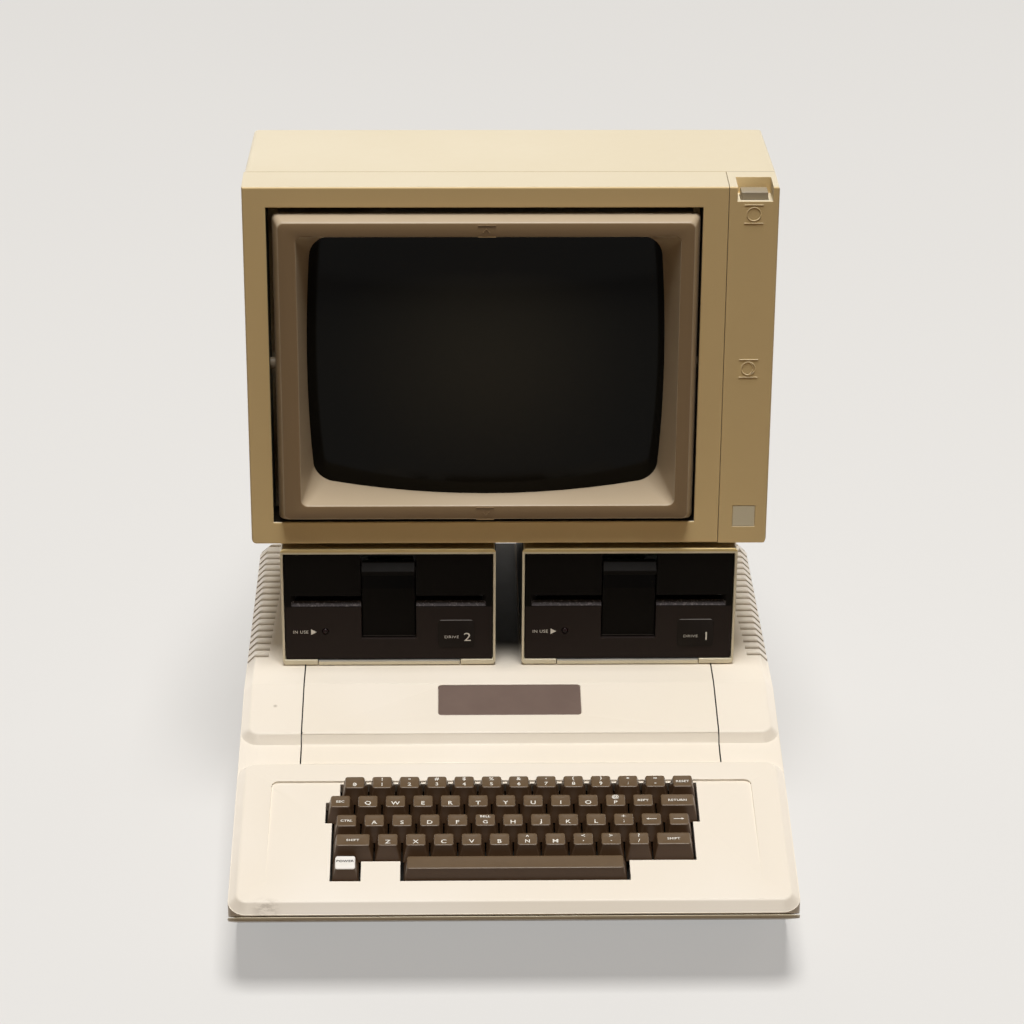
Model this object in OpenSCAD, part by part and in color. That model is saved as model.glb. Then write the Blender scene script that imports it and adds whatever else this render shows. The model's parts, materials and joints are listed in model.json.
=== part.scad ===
// Vintage home computer: wedge case with built-in keyboard, two floppy drives and a
// twelve-inch monitor with a tilting screen. Every sub-part is drawn where it sits.
// Millimetres. Origin: on the desk, under the middle of the whole machine's box.
// +Z up, front towards -Y, +X to the right of whoever sits at the keys.

/* [Case] */
// Case width
case_w = 387; // [360:1:470]
// Case depth, nose to back
case_d = 457; // [430:1:560]
// Height of the flat top above the desk
case_h = 115; // [100:1:140]
// Height of the nose edge above the desk
nose_h = 61.8; // [50:0.1:76]
// Slope of the keyboard deck, degrees
deck_slope = 11.9; // [9:0.1:15]
// Height of the raised panels above the case outline
panel_rise = 6.2; // [4:0.1:8]
// Width of the slanted border round the raised panels
border_w = 6; // [4:0.1:8]
// Radius of the case corners
corner_r = 14; // [11:0.5:20]
// Thickness of the case walls
wall_t = 4; // [3:0.1:6]
// Distance from the nose to the valley across the deck
valley_from = 145.5; // [135:0.5:165]
// Width of the valley
valley_w = 20; // [12:0.5:26]
// Distance from the nose to where the underside turns flat
under_d = 76; // [60:1:90]
// Height of the rubber feet
foot_h = 6; // [4:0.5:12]
// Radius of the rubber feet
foot_r = 9; // [6:0.5:12]
// Thickness of the base pan
pan_t = 2.5; // [1.5:0.1:4]

/* [Lid] */
// Width of the lid opening
lid_w = 299; // [280:1:310]
// Thickness of the lid
lid_t = 4; // [3:0.1:5]
// Gap round the lid
lid_gap = 0.9; // [0.4:0.1:1.5]
// Nameplate width
badge_w = 103.6; // [80:0.2:120]
// Nameplate length up the slope
badge_l = 33; // [20:0.5:36]
// Distance from the nose to the lower edge of the nameplate
badge_from = 188.3; // [180:0.1:196]
// Nameplate thickness
badge_t = 0.8; // [0.5:0.1:1]

/* [Vents] */
// Slots in each shoulder
vent_n = 19; // [8:1:21]
// Spacing of the slots
vent_pitch = 10; // [8:0.5:12]
// Width of a slot
vent_slot = 3.4; // [2:0.1:5]
// Height of the slots down the side
vent_drop = 24; // [12:1:40]
// Distance from the nose to the first slot
vent_from = 266; // [255:1:280]

/* [Keyboard] */
// Spacing of the keys
key_pitch = 19.05; // [17:0.05:19.5]
// Gap between neighbouring keys
key_gap = 0.95; // [0.6:0.05:1.5]
// Key height above the deck
key_h = 8; // [6:0.5:14]
// Space bar height above the deck
bar_h = 6.5; // [5:0.5:13]
// Length of the space bar in keys
bar_units = 8; // [5:0.5:8]
// Depth of a key's top face
key_top_d = 11.2; // [8:0.2:14]
// Taper of a key on each side
key_taper = 2.5; // [1:0.1:4]
// Key travel
key_travel = 3.8; // [2:0.1:4.5]
// Margin of the case opening round the keys
well_gap = 0.9; // [0.5:0.1:2]
// Distance up the deck to the middle of the space bar row
bar_row_s = 36.5; // [35:0.1:40]
// Depth of the sunken panel round the keys
sink_t = 1.6; // [0:0.1:3]
// Distance up the deck to where the sunken panel begins
sink_from = 24; // [20:0.5:30]
// Margin of the sunken panel behind the keys
sink_edge = 1.6; // [1:0.1:6]
// Width of the sunken panel
sink_w = 336; // [320:1:350]

/* [Inside the case] */
// Main board width
board_w = 262; // [200:1:280]
// Main board depth
board_d = 340; // [280:1:350]
// Expansion sockets
socket_n = 8; // [1:1:8]
// Spacing of the sockets
socket_pitch = 21; // [16:0.5:24]
// Length of the controller card
card_l = 150; // [100:1:190]
// Height of the controller card
card_h = 62; // [40:1:68]
// Power supply width
supply_w = 92; // [70:1:100]
// Power supply height
supply_h = 58; // [40:1:70]
// Speaker radius
speaker_r = 28; // [15:1:34]

/* [Disk drives] */
// Drive width
drive_w = 156; // [148:1:165]
// Drive height without its feet
drive_h = 94.4; // [90:0.1:110]
// Drive depth
drive_d = 204; // [195:1:240]
// Distance between the middles of the two drives
drive_spread = 175.2; // [160:0.2:200]
// Distance from the nose to the drive fronts
drive_from = 249; // [230:1:260]
// Thickness of the drive cover
cover_t = 1.8; // [1:0.1:2.5]
// Height of the folded hem at the top and bottom of a drive's front
hem_h = 2; // [1:0.1:3]
// Width of the base plate between the cover's two lower flanges
drive_plate = 103.6; // [90:0.2:116]
// Height of the disk slot
slot_h = 5.4; // [4.5:0.1:8]
// Width of the disk slot
slot_w = 137; // [134:0.5:142]
// Height of the slot's lower edge in the drive
slot_z = 50.9; // [45:0.1:52]
// Width of the drive door
door_w = 38.6; // [24:0.2:60]
// Height of the drive feet
drive_foot_h = 1; // [1:0.5:6]
// Hub radius
hub_r = 14; // [10:0.5:18]
// Head travel
head_travel = 18.5; // [10:0.5:25]

/* [Monitor] */
// Monitor width
mon_w = 371; // [340:1:400]
// Monitor height
mon_h = 267; // [262:0.5:300]
// Monitor depth
mon_d = 345.7; // [320:0.1:400]
// Backward lean of the front, degrees
mon_lean = 3; // [0:0.5:5]
// Distance from the nose to the foot of the monitor's front
mon_from = 249.7; // [240:0.1:275]
// Depth of the front frame
frame_d = 31; // [25:1:38]
// Depth of the flat top
top_d = 120.5; // [90:0.5:150]
// Fall of the slope behind the flat top
rear_drop = 80; // [66:1:95]
// Wall thickness of the monitor
mon_t = 3; // [2:0.1:4]
// Width of the control strip on the right
strip_w = 35.1; // [28:0.1:40]
// Height of the monitor feet
mon_foot_h = 4.5; // [1:0.5:10]
// Screen frame width
screen_w = 296.8; // [280:0.1:297]
// Screen frame height
screen_h = 229.6; // [215:0.1:232]
// How far the screen frame stands out
screen_out = 8; // [2:0.5:10]
// Picture tube face radius
tube_r = 500; // [380:5:900]
// Picture tube face width
tube_w = 262; // [250:1:268]
// Picture tube face height
tube_h = 206; // [190:1:208]
// Picture tube length
tube_l = 268; // [240:1:280]

/* [Node] */
// Which sub-part to draw

/* [Hidden] */

$fn = 48;
e = 0.02;
reveal = 0.5;
step = 0.4;
cream = [0.93, 0.87, 0.76];
brown = [0.30, 0.24, 0.19];
black = [0.06, 0.055, 0.05];
steel = [0.70, 0.70, 0.70];
green = [0.10, 0.30, 0.16];
grey = [0.45, 0.45, 0.45];
putty = [0.62, 0.55, 0.44];

front_y = -max(case_d, mon_from + mon_d) / 2;
back_end = front_y + case_d;
mid_y = front_y + case_d / 2;
sn = sin(deck_slope);
cs = cos(deck_slope);
tn = tan(deck_slope);
low_h = case_h - panel_rise;
flat_d = (low_h - nose_h) / tn;
crease_d = (case_h - nose_h - panel_rise / cs) / tn;
panel_w = case_w - 2 * (reveal + step);
panel_r = corner_r - reveal - step;
roof_t = 3;
pan_top = foot_h + pan_t;
lip_h = 3;
lip_z = nose_h - 1.2;
pan_rise = (lip_z - lip_h - foot_h) / under_d;
shell_z = pan_top + 0.8;
inner_w = case_w - 2 * wall_t - 1;

// Keyboard rows, counted from the space bar row, and where each row starts in key units
row_start = [-4, -6.5, -6.5, -6.75, -6.25];
row_end = [4, 6.5, 6.5, 6.75, 6.75];
plate_t = 1.6;
switch_h = 4;
stem_r = 2.5;
skirt_h = 3;
plate_h = skirt_h + key_travel + switch_h + 1.2;

// Disk drives
drive_z = case_h + drive_foot_h;
drive_x = drive_spread / 2;
hub_v = 74;
head_v = 118;
rail_from = head_v - head_travel - 11.5;
rail_to = head_v + 48;
cast_z = 30;
cast_t = 8;
bezel_t = 10;
door_v = 5.5;
door_z = 79.4;
flare = 2.6;
ledge_d = 4.4;
hem_d = 6;
lamp_x = -46.4;
lamp_z = 27.2;
barrel_r = 3;
drive_gap = 0.6;
shaft_fit = 0.08;
drive_side = [-1, 1];

// Monitor
mon_z = case_h + drive_foot_h + drive_h + mon_foot_h;
open_l = -mon_w / 2 + 16.2;
open_r = mon_w / 2 - 52.5;
open_lo = 16.8;
open_hi = mon_h - 14.5;
screen_x = -16.9;
screen_z = (open_lo + open_hi) / 2 - 1.3;
screen_c = 4.2;
pivot_y = 16;
pivot_r = 4;
face_t = 9;
funnel_t = 4;
neck_r = 14.5;
rim_t = 3;
funnel_h = 201.1;
funnel_l = 132.7;
funnel_r = 133.8;
funnel_v = 0.24;
funnel_u = [0.23, 0.4];
seam = 0.4;
strip_x = mon_w / 2 - strip_w;
glass_x = -16;
glass_y = -2;
foot_x = 130;

// ---- helpers ----
function from_nose(d) = front_y + d;
function row_s(r) = bar_row_s + r * key_pitch + (r > 0 ? 0.2 : 0);

module along_x(points, w) {
  rotate([90, 0, 90])
    linear_extrude(height = w, center = true)
      polygon(points);
}

module along_y(points, from, to) {
  translate([0, to, 0])
    rotate([90, 0, 0])
      linear_extrude(height = to - from)
        polygon(points);
}

module block(x0, x1, y0, y1, z0, z1) {
  translate([x0, y0, z0])
    cube([x1 - x0, y1 - y0, z1 - z0]);
}

module round_block(w, d, h, r) {
  linear_extrude(height = h)
    union() {
      square([w - 2 * r, d], center = true);
      square([w, d - 2 * r], center = true);
      for (x = [-1, 1], y = [-1, 1])
        translate([x * (w / 2 - r), y * (d / 2 - r)])
          circle(r);
    }
}

module panel_block(w, l, rise, b, r) {
  along_x([[0, 0], [l, 0], [l - b, rise], [b, rise]], w - 2 * r);
  along_y([[-w / 2, 0], [w / 2, 0], [w / 2 - b, rise], [b - w / 2, rise]], r, l - r);
  for (x = [-1, 1], y = [r, l - r])
    translate([x * (w / 2 - r), y, 0])
      cylinder(h = rise, r1 = r, r2 = r - b);
}

module on_low() {
  translate([0, front_y, nose_h])
    rotate([deck_slope, 0, 0])
      children();
}

module on_deck() {
  on_low()
    translate([0, 0, panel_rise])
      children();
}

module in_drive(side) {
  translate([side * drive_x, from_nose(drive_from), drive_z])
    children();
}

module in_monitor() {
  translate([0, from_nose(mon_from), mon_z])
    children();
}

module on_lean() {
  in_monitor()
    rotate([-mon_lean, 0, 0])
      children();
}

// ---- case ----
module base_pan() {
  color(steel)
  difference() {
    intersection() {
      along_x([
        [from_nose(0), lip_z - lip_h], [from_nose(under_d), foot_h], [back_end, foot_h],
        [back_end, pan_top], [from_nose(under_d + 1), pan_top], [from_nose(0), lip_z]
      ], case_w);
      translate([0, mid_y, 0])
        round_block(case_w, case_d, case_h, corner_r);
    }
    for (p = screw_places())
      translate([p[0], p[1], foot_h - 1])
        cylinder(h = pan_t + 2, r = 2.2);
  }
}

function screw_places() = [
  for (x = [-1, 1], d = [110, 270, case_d - 27])
    [x * (inner_w / 2 - 2), from_nose(d)]
];

module base_screws() {
  color(steel)
  for (p = screw_places())
    translate([p[0], p[1], foot_h - 1.6]) {
      cylinder(h = 1.6, r = 4);
      cylinder(h = 16, r = 1.95);
    }
}

module base_feet() {
  color(black)
  for (x = [-1, 1], d = [102, case_d - 50])
    translate([x * (case_w / 2 - 38), from_nose(d), 0]) {
      cylinder(h = 1.5, r1 = foot_r - 1, r2 = foot_r);
      translate([0, 0, 1.5])
        cylinder(h = foot_h - 1.5, r = foot_r);
    }
}

module case_outline() {
  intersection() {
    along_x([
      [from_nose(reveal), lip_z + 0.8 - reveal * pan_rise],
      [from_nose(under_d + 1), shell_z], [back_end - reveal, shell_z],
      [back_end - reveal, low_h], [from_nose(flat_d), low_h],
      [from_nose(reveal), nose_h + reveal * tn]
    ], case_w - 2 * reveal);
    translate([0, mid_y, 0])
      round_block(case_w - 2 * reveal, case_d - 2 * reveal, case_h, corner_r - reveal);
  }
}

module front_panel() {
  start = reveal + step;
  on_low()
    translate([0, start, 0])
      panel_block(panel_w, valley_from / cs - start, panel_rise, border_w, panel_r);
}

// The plane through the crease, where the sloping and the flat rear panel meet
crease_lean = (crease_d - flat_d) / panel_rise;

module before_crease() {
  along_x([
    [front_y - 10, -10], [from_nose(flat_d - crease_lean * (low_h + 10)), -10],
    [from_nose(flat_d + crease_lean * 60), low_h + 60], [front_y - 10, low_h + 60]
  ], case_w + 20);
}

module rear_panel() {
  s0 = (valley_from + valley_w) / cs;
  flat_l = case_d - reveal - step - flat_d + 60;
  intersection() {
    on_low()
      translate([0, s0, 0])
        panel_block(panel_w, flat_d / cs - s0 + 60, panel_rise, border_w, panel_r);
    before_crease();
  }
  difference() {
    translate([0, from_nose(flat_d - 60), low_h])
      panel_block(panel_w, flat_l, panel_rise, border_w, panel_r);
    before_crease();
  }
}

module key_well(h0, h1) {
  half = key_pitch / 2 + well_gap;
  on_deck() {
    for (r = [1:4])
      block(row_start[r] * key_pitch - well_gap, row_end[r] * key_pitch + well_gap,
        row_s(r) - half, row_s(r) + half, h0, h1);
    block(-bar_units / 2 * key_pitch - well_gap, bar_units / 2 * key_pitch + 1.8 + well_gap,
      row_s(0) - half, row_s(0) + half, h0, h1);
    block(-6.5 * key_pitch - well_gap, -5.5 * key_pitch + well_gap,
      row_s(0) - half, row_s(0) + half, h0, h1);
  }
}

module sunken_panel() {
  s0 = sink_from;
  s1 = row_s(4) + key_pitch / 2 + well_gap + sink_edge;
  tilt = atan(sink_t / (s1 - s0));
  on_deck()
    translate([0, s0, 0])
      rotate([-tilt, 0, 0])
        translate([0, (s1 - s0) / 2, 0])
          round_block(sink_w, s1 - s0, 8, 5);
}

function lid_line(drop) = [
  [from_nose(valley_from + lid_gap), nose_h + (valley_from + lid_gap) * tn - drop],
  [from_nose(valley_from + valley_w), nose_h + (valley_from + valley_w) * tn - drop],
  [
    from_nose(valley_from + valley_w + border_w * cs - panel_rise * sn),
    nose_h + (valley_from + valley_w) * tn + border_w * sn + panel_rise * cs - drop
  ],
  [from_nose(crease_d), case_h - drop],
  [back_end - reveal - step - border_w - drop * 0.4, case_h - drop]
];

back_y = back_end - reveal - step;

module lid_seat() {
  along_x(concat(
    [[from_nose(valley_from + e), lid_line(0)[0][1] + 30]],
    [[from_nose(valley_from + e), lid_line(lid_t)[0][1]]],
    [for (i = [1:4]) lid_line(lid_t)[i]],
    [[back_y - lid_t - lid_gap, low_h - 8 - lid_gap], [back_end + 5, low_h - 8 - lid_gap]],
    [[back_end + 5, case_h + 30]]
  ), lid_w);
}

module lid_way() {
  ledge = 8;
  along_x([
    [from_nose(valley_from + 0.5), pan_top], [back_end - wall_t - reveal, pan_top],
    [back_end - wall_t - reveal, case_h + 30], [from_nose(valley_from + 0.5), case_h + 30]
  ], lid_w - 2 * ledge);
}

module inside_case() {
  roof = low_h - roof_t;
  along_x([
    [from_nose(12), -10], [from_nose(12), nose_h + 12 * tn - roof_t / cs],
    [from_nose(flat_d), roof], [back_end - wall_t - reveal, roof],
    [back_end - wall_t - reveal, -10]
  ], inner_w);
}

module side_vents() {
  for (side = [0, 1], i = [0:vent_n - 1])
    mirror([side, 0, 0])
      translate([case_w / 2 - 16.5 - i / 3, from_nose(vent_from + i * vent_pitch), 0])
        block(0, 30, -vent_slot / 2, vent_slot / 2, case_h - vent_drop, case_h + 4);
}

module back_openings() {
  for (x = [-40, 40, 120])
    block(x - 30, x + 30, back_end - 12, back_end + 5, 72, 90);
  for (x = jack_places())
    translate([x, back_end - 12, 24])
      rotate([-90, 0, 0])
        cylinder(h = 20, r = 6.4);
  block(switch_x - 7, switch_x + 7, back_end - 12, back_end + 5, 27, 49);
  block(inlet_x - 15, inlet_x + 15, back_end - 12, back_end + 5, 26, 50);
}

switch_x = -case_w / 2 + 29;
inlet_x = -case_w / 2 + 72;
function jack_places() = [70, 95, 120, 145];

module shell_bosses() {
  for (p = screw_places())
    difference() {
      translate([p[0], p[1], shell_z])
        cylinder(h = 30, r = 5.5);
      translate([p[0], p[1], 0])
        cylinder(h = shell_z + 20, r = 2);
    }
}

module case_shell() {
  color(cream) {
    difference() {
      union() {
        case_outline();
        front_panel();
        rear_panel();
      }
      inside_case();
      lid_seat();
      lid_way();
      sunken_panel();
      key_well(-20, 20);
      side_vents();
      back_openings();
    }
    shell_bosses();
  }
}

module lid() {
  top = lid_line(0);
  under = lid_line(lid_t);
  color(cream)
  difference() {
    along_x(concat(
      top,
      [[back_y, low_h], [back_y, low_h - 8], [back_y - lid_t, low_h - 8]],
      [for (i = [4:-1:0]) under[i]]
    ), lid_w - 2 * lid_gap);
    on_deck()
      translate([0, badge_from / cs + panel_rise * tn + badge_l / 2, -badge_t - 0.2])
        round_block(badge_w, badge_l, 5, 3);
  }
}

module nameplate() {
  color(brown)
  on_deck()
    translate([0, badge_from / cs + panel_rise * tn + badge_l / 2, -badge_t - 0.2])
      round_block(badge_w - 0.6, badge_l - 0.6, badge_t, 2.7);
}

// ---- keyboard ----
function bar_stems() = [-2.5 * key_pitch + 0.9, 0.9, 2.5 * key_pitch + 0.9];

function stem_places() = concat(
  [for (i = [0:12]) [(row_start[4] + 0.5 + i) * key_pitch, row_s(4)]],
  [for (i = [0:11]) [(row_start[3] + 0.5 + i) * key_pitch, row_s(3)]],
  [[(row_end[3] - 0.75) * key_pitch, row_s(3)]],
  [for (i = [0:12]) [(row_start[2] + 0.5 + i) * key_pitch, row_s(2)]],
  [for (x = [-5.75, 5.75]) [x * key_pitch, row_s(1)]],
  [for (i = [0:9]) [(i - 4.5) * key_pitch, row_s(1)]],
  [for (x = bar_stems()) [x, row_s(0)]],
  [[-6 * key_pitch, row_s(0)]]
);

module keyboard_plate() {
  s0 = row_s(0) - 13.2;
  s1 = row_s(4) + 18;
  color(black)
  on_deck()
    difference() {
      union() {
        block(-146, 148, s0, s1, -plate_h - plate_t, -plate_h);
        for (p = stem_places())
          block(p[0] - 7, p[0] + 7, p[1] - 7, p[1] + 7, -plate_h, -plate_h + switch_h);
        for (x = [-140, 142], s = [s0 + 6, s1 - 6])
          translate([x, s, -plate_h])
            cylinder(h = plate_h - panel_rise - roof_t, r = 4);
      }
      for (p = stem_places())
        translate([p[0], p[1], -plate_h - plate_t - 1])
          cylinder(h = 10, r = stem_r + shaft_fit);
    }
}

module keyboard_board() {
  color(green)
  on_deck() {
    block(-140, 142, row_s(0) - 3.7, row_s(4) + 12, -plate_h - plate_t - 6,
      -plate_h - plate_t - 4.4);
    for (x = [-134, 136], s = [row_s(0) + 2.3, row_s(4) + 6])
      translate([x, s, -plate_h - plate_t - 4.4])
        cylinder(h = 4.4, r = 3);
  }
}

module key_cap(units, top_h, back, top_d) {
  half = key_pitch / 2 - key_gap / 2;
  w = (units * key_pitch - key_gap) / 2;
  intersection() {
    along_x([
      [-half, -skirt_h], [half, -skirt_h], [back + top_d / 2, top_h], [back - top_d / 2, top_h]
    ], 2 * w + 2);
    along_y([
      [-w, -skirt_h], [w, -skirt_h], [w - key_taper, top_h], [key_taper - w, top_h]
    ], -20, 20);
  }
}

module key_stem(x) {
  translate([x, 0, -plate_h + 2.5])
    cylinder(h = plate_h - skirt_h, r = stem_r);
}

module key_at(x_units, row, units) {
  on_deck()
    translate([x_units * key_pitch, row_s(row), 0]) {
      key_cap(units, key_h, 2.1, key_top_d);
      key_stem(0);
    }
}

module number_row_keys() {
  color(brown)
  for (i = [0:11])
    key_at(row_start[4] + 0.5 + i, 4, 1);
}

module upper_row_keys() {
  color(brown)
  for (i = [1:10])
    key_at(row_start[3] + 0.5 + i, 3, 1);
}

module home_row_keys() {
  color(brown)
  for (i = [1:10])
    key_at(row_start[2] + 0.5 + i, 2, 1);
}

module lower_row_keys() {
  color(brown)
  for (i = [0:9])
    key_at(i - 4.5, 1, 1);
}

module reset_key() {
  color(brown)
  key_at(row_start[4] + 12.5, 4, 1);
}

module escape_key() {
  color(brown)
  key_at(row_start[3] + 0.5, 3, 1);
}

module repeat_key() {
  color(brown)
  key_at(row_start[3] + 11.5, 3, 1);
}

module return_key() {
  color(brown)
  key_at(row_end[3] - 0.75, 3, 1.5);
}

module control_key() {
  color(brown)
  key_at(row_start[2] + 0.5, 2, 1);
}

module left_arrow_key() {
  color(brown)
  key_at(row_start[2] + 11.5, 2, 1);
}

module right_arrow_key() {
  color(brown)
  key_at(row_start[2] + 12.5, 2, 1);
}

module left_shift_key() {
  color(brown)
  key_at(-5.75, 1, 1.5);
}

module right_shift_key() {
  color(brown)
  key_at(5.75, 1, 1.5);
}

module space_bar() {
  color(brown)
  on_deck()
    translate([0, row_s(0), 0]) {
      translate([0.9, 0, 0])
        key_cap(bar_units, bar_h, 0.6, key_top_d + 0.6);
      for (x = bar_stems())
        key_stem(x);
    }
}

module power_lamp_cap() {
  color([0.95, 0.93, 0.90])
  on_deck()
    translate([-6 * key_pitch, row_s(0), 0]) {
      key_cap(1, bar_h, 1.2, key_top_d + 0.6);
      key_stem(0);
    }
}

// ---- inside the case ----
board_x = -case_w / 2 + supply_w + 18;
board_y = back_end - 22;
board_z = pan_top + 6;

module main_board() {
  color(green) {
    block(board_x, board_x + board_w, board_y - board_d, board_y, board_z, board_z + 1.6);
    for (x = [8, board_w / 2, board_w - 8], y = [8, board_d / 2, board_d - 8])
      translate([board_x + x, board_y - y, pan_top])
        cylinder(h = board_z - pan_top, r = 3);
    for (row = [0:4], i = [0:9])
      block(board_x + 20 + i * 24, board_x + 27 + i * 24, board_y - 150 - row * 34,
        board_y - 130 - row * 34, board_z + 1.6, board_z + 5.2);
  }
}

function socket_x(i) = board_x + 30 + i * socket_pitch;

module expansion_sockets() {
  color(black)
  for (i = [0:socket_n - 1])
    difference() {
      block(socket_x(i) - 4.5, socket_x(i) + 4.5, board_y - 100, board_y - 28,
        board_z + 1.6, board_z + 14);
      block(socket_x(i) - 1, socket_x(i) + 1, board_y - 97, board_y - 31,
        board_z + 6, board_z + 16);
    }
}

module controller_card() {
  x = socket_x(max(socket_n - 2, 0));
  z = board_z + 16;
  color(green) {
    block(x - 0.8, x + 0.8, board_y - card_l - 16, board_y - 16, z, z + card_h);
    block(x - 0.8, x + 0.8, board_y - 96, board_y - 32, board_z + 6, z + 1);
    for (i = [0:3])
      block(x + 0.8, x + 4.4, board_y - card_l + 2 + i * 30, board_y - card_l + 9 + i * 30,
        z + 15, z + 35);
  }
}

module power_supply() {
  x0 = -inner_w / 2 + 9;
  back = back_end - wall_t - reveal - 0.3;
  color(steel)
  difference() {
    union() {
      block(x0, x0 + supply_w, back - 262, back, pan_top + 2, pan_top + 2 + supply_h);
      for (x = [16, supply_w - 16], y = [16, 246])
        translate([x0 + x, back - y, pan_top])
          cylinder(h = 3, r = 5);
    }
    block(switch_x - 6.3, switch_x + 6.3, back - 20, back + 1, 27.7, 48.3);
    block(inlet_x - 14, inlet_x + 14, back - 20, back + 1, 27, 49);
    for (i = [0:9])
      block(x0 + 12, x0 + supply_w - 12, back - 60 - i * 16, back - 54 - i * 16,
        pan_top + supply_h, pan_top + supply_h + 5);
    block(x0 + 2, x0 + supply_w - 2, back - 260, back - 22, pan_top + 4, pan_top + supply_h);
  }
  color(steel)
  translate([switch_x, back - 3, 38])
    rotate([0, 90, 0])
      cylinder(h = 12.6, r = 1.5, center = true);
}

module mains_switch() {
  back = back_end - wall_t - reveal - 0.3;
  color(black)
  translate([switch_x, back - 3, 38])
    difference() {
      union() {
        rotate([0, 90, 0])
          cylinder(h = 11.8, r = 6, center = true);
        along_x([[-2, -8.4], [2, -8.4], [5.6, -5.5], [4.2, 0], [7, 8.4], [-2, 8.4]], 11.8);
      }
      rotate([0, 90, 0])
        cylinder(h = 14, r = 1.58, center = true);
    }
}

module mains_inlet() {
  back = back_end - wall_t - reveal - 0.3;
  color(black) {
    difference() {
      block(inlet_x - 13.6, inlet_x + 13.6, back - 19.6, back + 4, 27.4, 48.6);
      block(inlet_x - 11, inlet_x + 11, back - 14, back + 5, 30, 46);
    }
    for (x = [-7, 0, 7])
      block(inlet_x + x - 1, inlet_x + x + 1, back - 15, back, 36 + (x == 0 ? 3 : 0),
        40 + (x == 0 ? 3 : 0));
  }
}

module speaker() {
  color(black)
  translate([-case_w / 2 + 62, from_nose(122), pan_top]) {
    cylinder(h = 8, r1 = speaker_r, r2 = speaker_r - 8);
    cylinder(h = 18, r = speaker_r * 0.45);
  }
}

module rear_jacks() {
  color(grey)
  for (x = jack_places()) {
    block(x - 8, x + 8, board_y - 12, back_end - wall_t - reveal - 0.3, board_z + 1.6,
      board_z + 19);
    translate([x, back_end - wall_t - reveal - 1, 24])
      rotate([-90, 0, 0])
        difference() {
          cylinder(h = wall_t + reveal, r = 6);
          translate([0, 0, 1.5])
            cylinder(h = wall_t + 2, r = 1.7);
        }
  }
}

// ---- disk drives ----
module sheet_tube(w, h, r, from, to) {
  translate([0, to, h / 2])
    rotate([90, 0, 0])
      round_block(w, h, to - from, r);
}

module drive_cover() {
  t = cover_t;
  seat = drive_plate / 2 + drive_gap;
  inner = drive_w / 2 - t;
  difference() {
    sheet_tube(drive_w, drive_h, 3, 0, drive_d);
    translate([0, 0, t])
      sheet_tube(drive_w - 2 * t, drive_h - 2 * t, 1.4, -1, drive_d + 1);
    block(-seat, seat, -1, drive_d + 1, -1, t + 1);
  }
  block(-inner, inner, 0, hem_d, drive_h - t - hem_h, drive_h - t);
  for (side = [0, 1])
    mirror([side, 0, 0])
      block(seat, inner, 0, hem_d, t, t + hem_h);
}

module drive_chassis() {
  t = cover_t;
  back = drive_d - 2.4;
  top = cast_z + cast_t;
  block(-drive_plate / 2, drive_plate / 2, 0, drive_d - 0.4, 0, t);
  block(-drive_plate / 2, drive_plate / 2, 0, hem_d, t, t + hem_h);
  half = drive_w / 2 - t - drive_gap;
  block(-half, half, back, back + 2, t + drive_gap, drive_h - t - drive_gap);
  for (x = [-45, 45], y = [30, 140])
    translate([x, y, t])
      cylinder(h = cast_z - t, r = 6);
  difference() {
    block(-70, 70, bezel_t + 1.2, back, cast_z, top);
    translate([0, hub_v, cast_z - 1])
      cylinder(h = cast_t + 2, r = 5 + shaft_fit);
    translate([48, 172, cast_z - 1])
      cylinder(h = cast_t + 2, r = 4);
  }
  for (x = [-1, 1]) {
    block(x * 70 - 2.8, x * 70 + 2.8, bezel_t + 1.2, 150, top, top + 20);
    for (y = [30, 145])
      translate([x * 70, y, top])
        cylinder(h = 78 - top, r = 2.8);
    for (y = [rail_from, rail_to])
      block(x * 22 - 5, x * 22 + 5, y, y + 4, top, top + 10);
    translate([x * 22, rail_from + 2, top + 6])
      rotate([-90, 0, 0])
        cylinder(h = rail_to - rail_from, r = 2.5);
  }
}

module drive_bezel() {
  w = drive_w - 2 * (cover_t + drive_gap);
  z0 = cover_t + hem_h + 0.3;
  z1 = drive_h - cover_t - hem_h - drive_gap;
  mouth = slot_w / 2 + flare * (ledge_d + 1) / (ledge_d - 1);
  difference() {
    along_x([
      [1, z0], [bezel_t + 1, z0], [bezel_t + 1, z1], [1.8, z1], [1.8, slot_z + slot_h + 6.4],
      [1, slot_z + slot_h + 0.6]
    ], w);
    block(-slot_w / 2, slot_w / 2, -1, 20, slot_z, slot_z + slot_h);
    intersection() {
      along_x([
        [-1, slot_z - ledge_d - 1], [ledge_d, slot_z], [ledge_d, slot_z + slot_h],
        [-1, slot_z + slot_h]
      ], drive_w);
      linear_extrude(height = drive_h)
        polygon([[-mouth, -1], [mouth, -1], [slot_w / 2, ledge_d], [-slot_w / 2, ledge_d]]);
    }
    block(-door_w / 2 - 0.7, door_w / 2 + 0.7, -1, 8, 20.9, door_z + 9);
    block(-door_w / 2 - 0.7, door_w / 2 + 0.7, -1, 20, slot_z - 3.4, door_z + 9);
    translate([-door_w / 2 - 4, door_v + 1, door_z])
      rotate([0, 90, 0])
        cylinder(h = door_w + 8, r = 1.5 + shaft_fit);
    translate([lamp_x, -1, lamp_z])
      rotate([-90, 0, 0])
        cylinder(h = 20, r = 2.5);
  }
}

module drive_door() {
  along_x([
    [1.8, door_z + 3.8], [-3.9, door_z - 1], [-3.9, door_z - 4], [3.5, door_z - 4],
    [3.5, 21.6], [door_v + 1, 21.6], [door_v + 1, door_z + 3], [4, door_z + 3.8]
  ], door_w);
  translate([0, door_v + 1, door_z])
    rotate([0, 90, 0]) {
      cylinder(h = door_w, r = barrel_r, center = true);
      cylinder(h = door_w + 6, r = 1.5, center = true);
    }
}

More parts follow.
